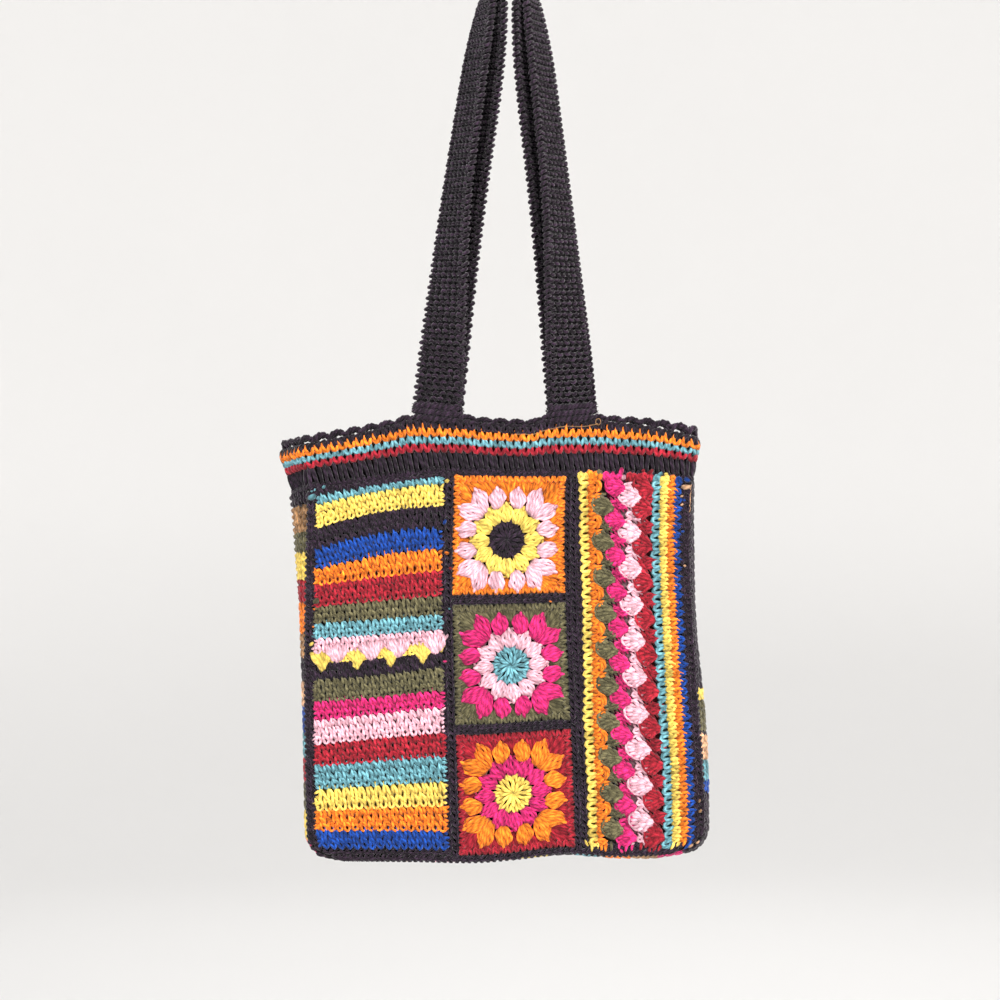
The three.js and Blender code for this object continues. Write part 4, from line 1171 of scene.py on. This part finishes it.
def layPatchTop(work):
    # The upper ends of the upright rows run out raggedly into the band, the lower ones into the border
    x0, y0, _, y1 = windows["shell"]
    chance = work["random"]
    for yarn, left, right in shellPatch["tops"]:
        xs, pitch = evenly(x0 + left, x0 + right, 4.6)
        tall = chance.uniform(4.5, 8.0, len(xs))
        turn = 180 + chance.normal(0, 14, len(xs))
        layStitches(work, frontFace, "cup", xs, y1 - 2.5 + tall / 3, pitch * 1.1, tall, yarn, 1.6, turn, 0.4)
        layStitches(work, frontFace, "bar", xs, y1 - 0.5, pitch * 0.6, tall * 0.6, yarn, 1.5, lift=0.8)
        low = chance.uniform(4.0, 7.5, len(xs))
        layStitches(work, frontFace, "leftLeg", xs, y0 + 1.5 - low / 2, pitch * 1.4, low, yarn, 1.3, turn=180)


def layPlainRow(work, yarn, kind, left, right):
    # An upright row of stitches on their side, with a chain of short bars along the looped ones
    x0, y0, _, y1 = windows["shell"]
    cup = kind == "cup"
    ys, step = evenly(y0 - 2.5, y1 - 0.5, shellPatch["plainPitch"])
    ys = ys + (-step / 4 if cup else step / 4) * (left > 30)
    radius = shellPatch["yarn"] * (0.85 if yarn == "blue" else 1.05)
    turn, lift = (-80, 0.3) if cup else (-90, 0.0)
    layRow(work, kind, x0 + (left + right) / 2, ys, step * 1.05, right - left, yarn, radius, turn, lift)
    if not cup:
        layRow(work, "bar", x0 + left + 2.6, ys, step * 0.5, step * 0.7, yarn, 1.2, turn=90, lift=1.1)


def layNecks(work, right, between, yarn, lift):
    # Between two shells of a row: two loops and a cup on their side, with slanting strands over them
    for beside in (-2.4, 2.4):
        x = leanIn(right - 4.5, between)
        layStitches(work, frontFace, "loop", x, between + beside, 5.2, 9.5, yarn, 1.25, -90, lift * 0.6)
    x = leanIn(right - 10.5, between)
    layStitches(work, frontFace, "cup", x, between - 0.5, 5.6, 7.0, yarn, 1.25, turn=-90, lift=0.3)
    h = np.array([-0.5, 0.8, 1.1, 1.0, 0.4]) + lift * 0.5
    thick = 1.3 * np.array([0.6, 1, 1.1, 1, 0.6])
    for start in (-13.5, -10.5, -7.5):
        x = right + np.linspace(start, start + 8.5, 5)
        y = between[:, None] + np.linspace(6.5, -6.5, 5) + 0.4 * start + 4
        layRun(work, x, y, h, thick, yarn, 0.85)


def makeShellPatch():
    x0, y0, x1, y1 = windows["shell"]
    work = startWork(41)
    for row in shellPatch["plain"]:
        layPlainRow(work, *row)
    for lift, (yarn, left, right, phase, pitch, high) in zip(shellPatch["lifts"], shellPatch["shells"]):
        middles = y0 + shellPatch["first"][0] + phase + pitch * np.arange(shellPatch["first"][1])
        middles = middles[middles < y1 + 4.5]
        middles = np.clip(middles, y0 + shellPatch["ends"][0], y1 - shellPatch["ends"][1])
        between = np.append(middles[0] - pitch / 2, (middles[1:] + middles[:-1]) / 2)
        between = between[between > y0 + 2]
        layNecks(work, x0 + right, between, yarn, lift)
        layShells(work, x0 + left, x0 + right, middles, high, yarn, lift)
        if yarn == "olive":
            layShellNeighbours(work, x0 + left + 2.4, np.append(between, between[-1] + pitch))
    layPatchTop(work)
    cloth = layPatchCloth(
        frontFace, "shell", 4, 5, lambda x, y: yarnUpTo(x - x0 - (leanIn(x, y) - x), shellPatch["fabric"])
    )
    dress("shell_patch", cloth, work)


makeShellPatch()

# The black borders: lanes of stitches from one place to another and how wide they are, mm from the face's
# lower left corner
leftLanes = (((2.2, 14), (2.2, 305), 4.6), ((6.2, 8), (6.2, 305), 4.4))
rightLanes = (((306.6, 8), (306.6, 305), 4.4), ((310.5, 14), (310.5, 305), 4.6))
endLanes = (((16, 2.4), (297, 2.4), 4.8), ((2, 306.2), (310, 306.2), 3.2))
joinLanes = tuple(((x, low), (x, 305), 5.4) for x, low in ((111.2, 8), (116.2, 4), (213.2, 4), (218.2, 8)))
squareLanes = tuple(((119, y), (210, y), 3.9) for y in (208.5, 204.8, 105.8, 102.1))
border = {
    "yarn": 1.05,
    "pitch": 4.8,
    "turn": 8,
    "lift": -0.2,
    "front": (
        *leftLanes, *joinLanes, *rightLanes, ((222.2, 112), (222.2, 296), 4.4), *squareLanes,
        ((8, 7.2), (112, 7.2), 4.8), ((217, 7.2), (305, 7.2), 4.8), *endLanes,
    ),
    "back": (*leftLanes, *rightLanes, ((8, 7.2), (305, 7.2), 4.8), *endLanes),
}


def makeBorder(face, surface):
    work = startWork(51 if face == "front" else 52)
    for start, stop, wide in border[face]:
        run = np.array(stop, float) - np.array(start, float)
        length = np.linalg.norm(run)
        at, pitch = evenly(0, length, border["pitch"])
        turn = np.degrees(np.arctan2(-run[0], run[1])) + border["turn"]
        x, y = [start[axis] + run[axis] / length * at for axis in (0, 1)]
        wide, tall = wide * 1.05, pitch * 1.25
        layStitches(work, surface, "vee", x, y, wide, tall, "black", border["yarn"], turn, border["lift"])
    if face == "front":
        layWhip(work, surface)
        layLooseBits(work)
    names = ("stripe", "top", "middle", "bottom", "shell") if face == "front" else ("back",)
    grids = []
    for axis, size in enumerate((form["bodyWidth"], form["bodyHeight"])):
        stops = sorted({0.0, size} | {float(windows[name][k]) for name in names for k in (axis, axis + 2)})
        grids.append(np.unique(np.concatenate([lines(a, b, 6) for a, b in zip(stops, stops[1:])])))

    def solid(x, y):
        filled = np.ones(x.shape, bool)
        for name in names:
            x0, y0, x1, y1 = windows[name]
            filled &= ~((x > x0) & (x < x1) & (y > y0) & (y < y1))
        return filled

    cloth = layCloth(surface, *grids, clothHeights["panel"], blackAt, solid)
    dress(face + "_border", cloth, work)


def layWhip(work, surface):
    # The seam to the gusset: strands that go round the panel's edge from its face to its back
    wide, tall = form["bodyWidth"], form["bodyHeight"]
    ys, step = evenly(2, tall - 2, 5.0)
    xs, _ = evenly(10, wide - 10, 5.0)
    inward = np.array([3.4, 1.2, -0.2, -0.4, 0.6, 2.2])
    h = np.array([0.2, 1.0, -0.2, -2.0, -3.6, -4.4])
    thick = 1.35 * np.array([0.7, 1, 1.1, 1.1, 1, 0.7])
    slant = np.linspace(-0.3, 0.3, 6) * step
    upright, level = ys[:, None] + slant, xs[:, None] + slant
    for x, y in ((inward, upright), (wide - inward, upright), (level, inward)):
        layPaths(work, surface, x, y, h, thick, "black", 0.95)


makeBorder("front", frontFace)
makeBorder("back", backFace)

# The back patch: nine broad stripes of the same yarns
backPatch = {
    "rows": 5,
    "pitch": 6.6,
    "stripes": ("orange", "blue", "yellow", "darkRed", "lightBlue", "black", "hotPink", "olive", "tan"),
}


def makeBackPatch():
    x0, y0, x1, y1 = windows["back"]
    work = startWork(61)
    xs, pitch = evenly(x0, x1, backPatch["pitch"])
    stripes = backPatch["stripes"]
    rows = len(stripes) * backPatch["rows"]
    tall = (y1 - y0) / rows
    for row in range(rows):
        yarn = stripes[row // backPatch["rows"]]
        side = 1 if row % 2 else -1
        x, y = xs + 0.25 * side * pitch, y1 - (row + 0.5) * tall
        layStitches(work, backFace, "loop", x, y, pitch, tall * 1.2, yarn, 1.35, turn=-8 * side, sides=4)
    stops = [((y1 - y0) * (i + 1) / len(stripes), yarn) for i, yarn in enumerate(stripes)]
    cloth = layPatchCloth(backFace, "back", 6, tall, lambda x, y: yarnUpTo(y1 - y, stops))
    dress("back_patch", cloth, work)


makeBackPatch()

# The gusset: cups or loops in rows across the strip and whip stitches over its front seam. stripes: yarn and
# length along the strip, from the left seam's top down and round to the right seam's top
gusset = {
    "yarn": 1.9,
    "columns": 9.4,
    "rows": 6.4,
    "lift": -0.5,
    "whip": {"yarn": 1.6, "pitch": 5.0},
    "cups": ("tan", "yellow", "peach", "orange"),
    "stripes": (
        ("black", 10.5), ("tan", 21.4), ("olive", 16), ("yellow", 21.6), ("darkRed", 19), ("orange", 23),
        ("tan", 19.6), ("black", 19.2), ("peach", 19.2), ("blue", 23), ("lightBlue", 20), ("darkRed", 20),
        ("olive", 20), ("yellow", 22), ("hotPink", 20), ("black", 20), ("orange", 24), ("tan", 22),
        ("blue", 22), ("palePink", 22), ("olive", 22), ("darkRed", 22), ("yellow", 24), ("black", 22),
        ("lightBlue", 22), ("orange", 22), ("tan", 22), ("hotPink", 22), ("black", 56.5), ("blue", 10),
        ("lightBlue", 15), ("peach", 20), ("black", 4), ("olive", 24), ("yellow", 9), ("black", 167),
    ),
}


def makeGusset():
    strip = gussetStrip
    work = startWork(71)
    stretch = strip["wide"] / sum(length for _, length in gusset["stripes"])
    ys, pitch = evenly(-1.0, strip["tall"] + 0.5, gusset["columns"])
    whipY = np.array([4.5, 1.6, -1.6, -4.2, -5.6, -5.2])  # over the seam to the front, from its face round
    whipH = np.array([-0.2, 1.0, 1.9, 1.9, 0.6, -1.8])
    thick = gusset["whip"]["yarn"] * np.array([0.6, 1, 1.1, 1.1, 1, 0.7])
    stops = []
    start = 0.0
    for yarn, length in gusset["stripes"]:
        stop = start + length
        rows, tall = evenly(start * stretch, stop * stretch, gusset["rows"])
        x, y = [grid.ravel() for grid in np.meshgrid(rows, ys)]
        kind = "cup" if yarn in gusset["cups"] else "loop"
        layStitches(work, strip, kind, x, y, pitch, tall * 1.15, yarn, gusset["yarn"], 90, gusset["lift"])
        x, step = evenly(start * stretch, stop * stretch, gusset["whip"]["pitch"])
        x = x[:, None] + np.linspace(-0.3, 0.3, 6) * step
        layPaths(work, strip, x, whipY, whipH, thick, yarn, 0.98)
        start = stop
        stops.append((stop * stretch, yarn))
    xLines, yLines = lines(0, strip["wide"], 5), lines(0.3, strip["tall"] - 0.3, 6)
    cloth = layCloth(strip, xLines, yLines, clothHeights["gusset"], lambda x, y: yarnUpTo(x, stops))
    dress("gusset", cloth, work)


makeGusset()

# The band round the mouth: a tall black row below and three rows of colour above it
bandRows = {
    "columns": 6.7,
    "posts": {"pitch": 4.1, "middle": 8.7, "tall": 13.6, "yarn": 1.5, "turn": -8},
    "rows": (
        ("black", "cup", 37.4, 6.5, 0.5, 1.5), ("orange", "hook", 30.6, 6.8, 0.0, 1.6),
        ("lightBlue", "hook", 24.4, 6.6, 0.5, 1.6), ("darkRed", "hook", 18.2, 6.4, 0.0, 1.6),
    ),
    "rise": 4.6,  # how much higher the rows stand at the mouth's ends
    "middle": 160,  # mm along the mouth to the middle of the front
    "fabric": ((14.6, "black"), (21.0, "darkRed"), (27.4, "lightBlue"), (33.5, "orange"), (60, "black")),
    "clothCount": 160,
}


def bandRise(x):
    # The square of a sine round the mouth, 0 in the middle of the front and of the back
    return bandRows["rise"] * np.sin(2 * pi * (x - bandRows["middle"]) / rimLoopLength) ** 2


def makeBand():
    surface = bandSurface
    work = startWork(81)
    xs, pitch = evenly(0, surface["wide"], bandRows["columns"])
    posts = bandRows["posts"]
    x, step = evenly(0, surface["wide"], posts["pitch"])
    tall = posts["tall"] + bandRise(x)
    y = posts["middle"] + bandRise(x) / 2
    layStitches(work, surface, "post", x, y, step * 1.1, tall, "black", posts["yarn"], posts["turn"])
    layStitches(work, surface, "vee", x, 1.9, step * 1.5, 5.0, "black", 1.15, lift=-0.3)
    for yarn, kind, middle, tall, shift, radius in bandRows["rows"][::-1]:
        x = xs + shift * pitch
        up = middle + bandRise(x) * (0.4 if yarn == "black" else 1.0)
        lift = 0.5 if yarn == "orange" else 0.0
        layStitches(work, surface, kind, x, up, pitch, tall, yarn, radius, lift=lift)
    layStrayStrand(work)
    xLines = np.linspace(0, surface["wide"], bandRows["clothCount"] + 1)
    yLines = lines(0, surface["tall"], 2.5)
    cloth = layCloth(
        surface, xLines, yLines, clothHeights["band"],
        lambda x, y: yarnUpTo(y - bandRise(x), bandRows["fabric"]), closed=True,
    )
    dress("mouth_band", cloth, work)


def layStrayStrand(work):
    # A thin end of yarn that lies along the upper edge of the orange row and ends in a small loop
    t = np.linspace(0, 1, 20)
    turn = np.linspace(-0.5, 1.5, 12) * pi
    x = np.concatenate([mix(158.0, 227.0, t), 227.0 + 2.0 * np.cos(turn)])[None]
    y = mix(33.0, 39.0, t**1.6) + 0.8 * np.sin(13 * t)
    y = np.concatenate([y, 40.8 + 2.6 * np.sin(turn)])[None]
    layPaths(work, bandSurface, x, y, 3.0, 0.32, "tan")


makeBand()

# The edging: a rail along the band and arches of twisted rope on it
edgingWork = {
    "rope": 1.55,
    "twistRadius": 1.0,
    "twistLength": 7.0,
    "middle": -2.0,
    "rails": (-0.9, -3.1),  # mm from the surface
    "railYarn": 1.7,
    "reach": (0, 0.1, 0.2, 0.31, 0.4, 0.47, 0.52),  # half an arch from its top: shares of its width,
    "climb": (0.8, 0.79, 0.75, 0.68, 0.58, 0.44, 0.3),  # and of its height
}


def makeEdging():
    surface = edgingSurface
    work = startWork(91)
    period = surface["wide"] / archCount
    half, climb = np.array(edgingWork["reach"]), np.array(edgingWork["climb"])
    reach = np.concatenate([-half[:0:-1], half])
    climb = np.concatenate([climb[:0:-1], climb])
    x = (np.arange(archCount)[:, None] + 0.5 + reach) * period
    for start in (0, pi):
        turn = 2 * pi * x / edgingWork["twistLength"] + start
        y = climb * surface["tall"] + edgingWork["twistRadius"] * np.sin(turn) * 0.8
        h = edgingWork["middle"] + edgingWork["twistRadius"] * np.cos(turn)
        layPaths(work, surface, x, y, h, edgingWork["rope"], "black", sides=6)
    xs, pitch = evenly(0, surface["wide"], 4.6)
    for h in edgingWork["rails"]:
        layStitches(work, surface, "bar", xs, 0.9, pitch * 1.25, 1.8, "black", edgingWork["railYarn"], lift=h)
    laid = finishWork("rim_edging_stitches", work)
    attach(laid, "root")
    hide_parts("rim_edging")


makeEdging()

# The straps: short slanting stitches in rows on both sides and scalloped edges round a flat core
strapWork = {
    "along": 4.5,
    "across": 5.4,
    "yarn": 1.2,
    "turn": 12,
    "lift": 1.0,
    "scallop": 9.0,
    "ropes": ((5.6, 2.4), (0.6, 3.0), (-4.2, 2.8)),  # mm up from a foot and out of the strap's middle layer
    "twistLength": 7.0,
}


def makeStrap(face):
    work = startWork(101 if face == "front" else 102)
    wide = form["strapWidth"]
    surface = strapSurface(face, True)
    length = surface["tall"]
    ys, along = evenly(0.5, length - 0.5, strapWork["along"])
    xs, across = evenly(2.2, wide - 2.2, strapWork["across"])
    gx, gy = np.meshgrid(xs, ys)
    side = np.where(np.arange(len(ys)) % 2, 1.0, -1.0)[:, None] + 0 * gx
    x, y, turn = (gx + 0.1 * side * across).ravel(), gy.ravel(), strapWork["turn"] * side.ravel()
    for layer in (surface, strapSurface(face, False)):
        yarn, lift = strapWork["yarn"], strapWork["lift"]
        layStitches(work, layer, "bead", x, y, across, along, "black", yarn, turn, lift)
    swell = 0.7 * np.sin(2 * pi * ys / strapWork["scallop"])[:, None]
    inward = np.array([3.6, 1.6, 0.6, 0.5, 0.6, 1.6, 3.6])
    h = np.array([2.3, 1.9, 1.0, 0, -1.0, -1.9, -2.3])
    thick = strapWork["yarn"] * np.array([0.8, 1.1, 1.2, 1.25, 1.2, 1.1, 0.8])
    slant = np.linspace(-0.35, 0.35, 7) * along
    for x in (inward - swell, wide - (inward - swell)):
        layPaths(work, surface, x, ys[:, None] + slant, h, thick, "black")
    layRidge(work, surface)
    cloth = layCloth(surface, lines(2, wide - 2, 5), lines(0, length, 4), clothHeights["strap"], blackAt)
    dress(face + "_strap", cloth, work)


def layRidge(work, surface):
    # Three ropes of two strands across each foot sew the strap to the rim
    wide, tall = form["strapWidth"], surface["tall"]
    x = np.linspace(-2.0, wide + 2.0, 34)[None]
    taper = 1 - 0.6 * np.abs(2 * x / wide - 1) ** 6
    for y, out in strapWork["ropes"]:
        for start in (0, pi):
            turn = 2 * pi * x / strapWork["twistLength"] + start + y
            sway, h = 1.2 * np.sin(turn), out * taper + 1.1 * np.cos(turn)
            shade = np.clip(0.9 + 0.18 * np.cos(turn), 0.6, 1.08)
            for foot in (y, tall - y):
                layPaths(work, surface, x, foot + sway, h, 1.85 * taper, "black", shade, sides=6)


makeStrap("front")
makeStrap("back")
print("all pieces laid")

# Stage: a round studio bowl of matt pale paint, flat in the middle and curving up to its side
# The last entry is painted shade near the floor: the tone at the floor and the height over it where it fades
# out
bowl = {"floor": -1.2, "flat": 3.2, "curve": 1.6, "side": 3.4, "paint": "#f6f5f4", "paintedFloorShade": (0.83, 0.9)}


def mattPaint():
    # Emulsion on plaster: an even pale tone with a faint unevenness and no shine, with painted shade that
    # makes it a little darker near the floor
    material, tree = newMaterial("mattStudioPaint")
    place = addNode(tree, "TexCoord", {}, {}).outputs["Object"]
    cloud = addNode(tree, "TexNoise", {}, {"Vector": place, "Scale": 1.5, "Detail": 2.0})
    tone = addNode(tree, "MapRange", {}, {0: cloud, 1: 0.2, 2: 0.8, 3: 0.985, 4: 1.0})
    up = addNode(tree, "SeparateXYZ", {}, {0: place}).outputs[2]
    # Painted shade: darker towards the floor
    dark, high = bowl["paintedFloorShade"]
    heights = {0: up, 1: bowl["floor"], 2: bowl["floor"] + high, 3: dark, 4: 1.0}
    paintedFloorShade = addNode(tree, "MapRange", {"interpolation_type": "SMOOTHSTEP"}, heights)
    value = addNode(tree, "Math", {"operation": "MULTIPLY"}, {0: tone, 1: paintedFloorShade})
    hue = addNode(tree, "HueSaturation", {}, {"Color": linear(bowl["paint"]), "Value": value})
    surface = {"Base Color": hue, "Roughness": 1.0, "Specular IOR Level": 0.0}
    shader = addNode(tree, "BsdfPrincipled", {}, surface)
    addNode(tree, "OutputMaterial", {}, {"Surface": shader})
    return material


def makeStage():
    # The profile runs out flat, then along a quarter circle, then straight up, and is carried round
    angle = np.linspace(0, pi / 2, 13)
    end = bowl["flat"] + bowl["curve"]
    radius = np.concatenate([[0.02, 1.0, 2.0], bowl["flat"] + bowl["curve"] * np.sin(angle), [end]])
    climb = np.concatenate([[0, 0, 0], bowl["curve"] * (1 - np.cos(angle)), [bowl["curve"] + bowl["side"]]])
    turn = np.linspace(0, 2 * pi, 97)[:-1]
    ring = np.stack(np.broadcast_arrays(np.cos(turn), np.sin(turn), 1.0), axis=-1)
    profile = np.stack([radius, radius, climb + bowl["floor"]], axis=-1)
    points = (profile[:, None] * ring).reshape(-1, 3)
    index = np.arange(len(points)).reshape(len(radius), len(turn))
    after = np.roll(index, -1, axis=1)
    quads = np.stack([index[:-1], index[1:], after[1:], after[:-1]], axis=-1).reshape(-1, 4)
    mesh = bpy.data.meshes.new("studio_bowl")
    mesh.from_pydata(points.tolist(), [], quads.tolist() + [index[0].tolist()])
    mesh.polygons.foreach_set("use_smooth", np.ones(len(mesh.polygons), bool))
    mesh.materials.append(mattPaint())
    stage = bpy.data.objects.new("studio_bowl", mesh)
    bpy.context.scene.collection.objects.link(stage)


lamps = {
    "key": {"place": (1.6, -2.4, 1.3), "size": 1.6, "power": 84, "colour": (1.0, 0.98, 0.95)},
    "fill": {"place": (-2.2, -1.8, 0.4), "size": 2.0, "power": 24, "colour": (0.95, 0.98, 1.0)},
    "back": {"place": (0.6, 2.6, 1.4), "size": 1.8, "power": 26, "colour": (1.0, 1.0, 1.0)},
}
aim = (0, 0, -0.45)
sky = {"colour": "#ffffff", "strength": 0.83}


def setLights():
    for name, lamp in lamps.items():
        data = bpy.data.lights.new(name, "AREA")
        data.shape = "DISK"
        data.size = lamp["size"]
        data.energy = lamp["power"]
        data.color = lamp["colour"]
        light = bpy.data.objects.new(name, data)
        way = np.array(aim) - np.array(lamp["place"])
        flat = np.hypot(way[0], way[1])
        light.location = lamp["place"]
        light.rotation_euler = (pi / 2 + np.arctan2(way[2], flat), 0, np.arctan2(-way[0], way[1]))
        bpy.context.scene.collection.objects.link(light)
    world = bpy.data.worlds.new("daylight")
    bpy.context.scene.world = world
    world.use_nodes = True
    background = world.node_tree.nodes["Background"]
    background.inputs[0].default_value = linear(sky["colour"])
    background.inputs[1].default_value = sky["strength"]


makeStage()
setLights()
bpy.context.scene.view_settings.view_transform = "Standard"
print("stage and lights set")
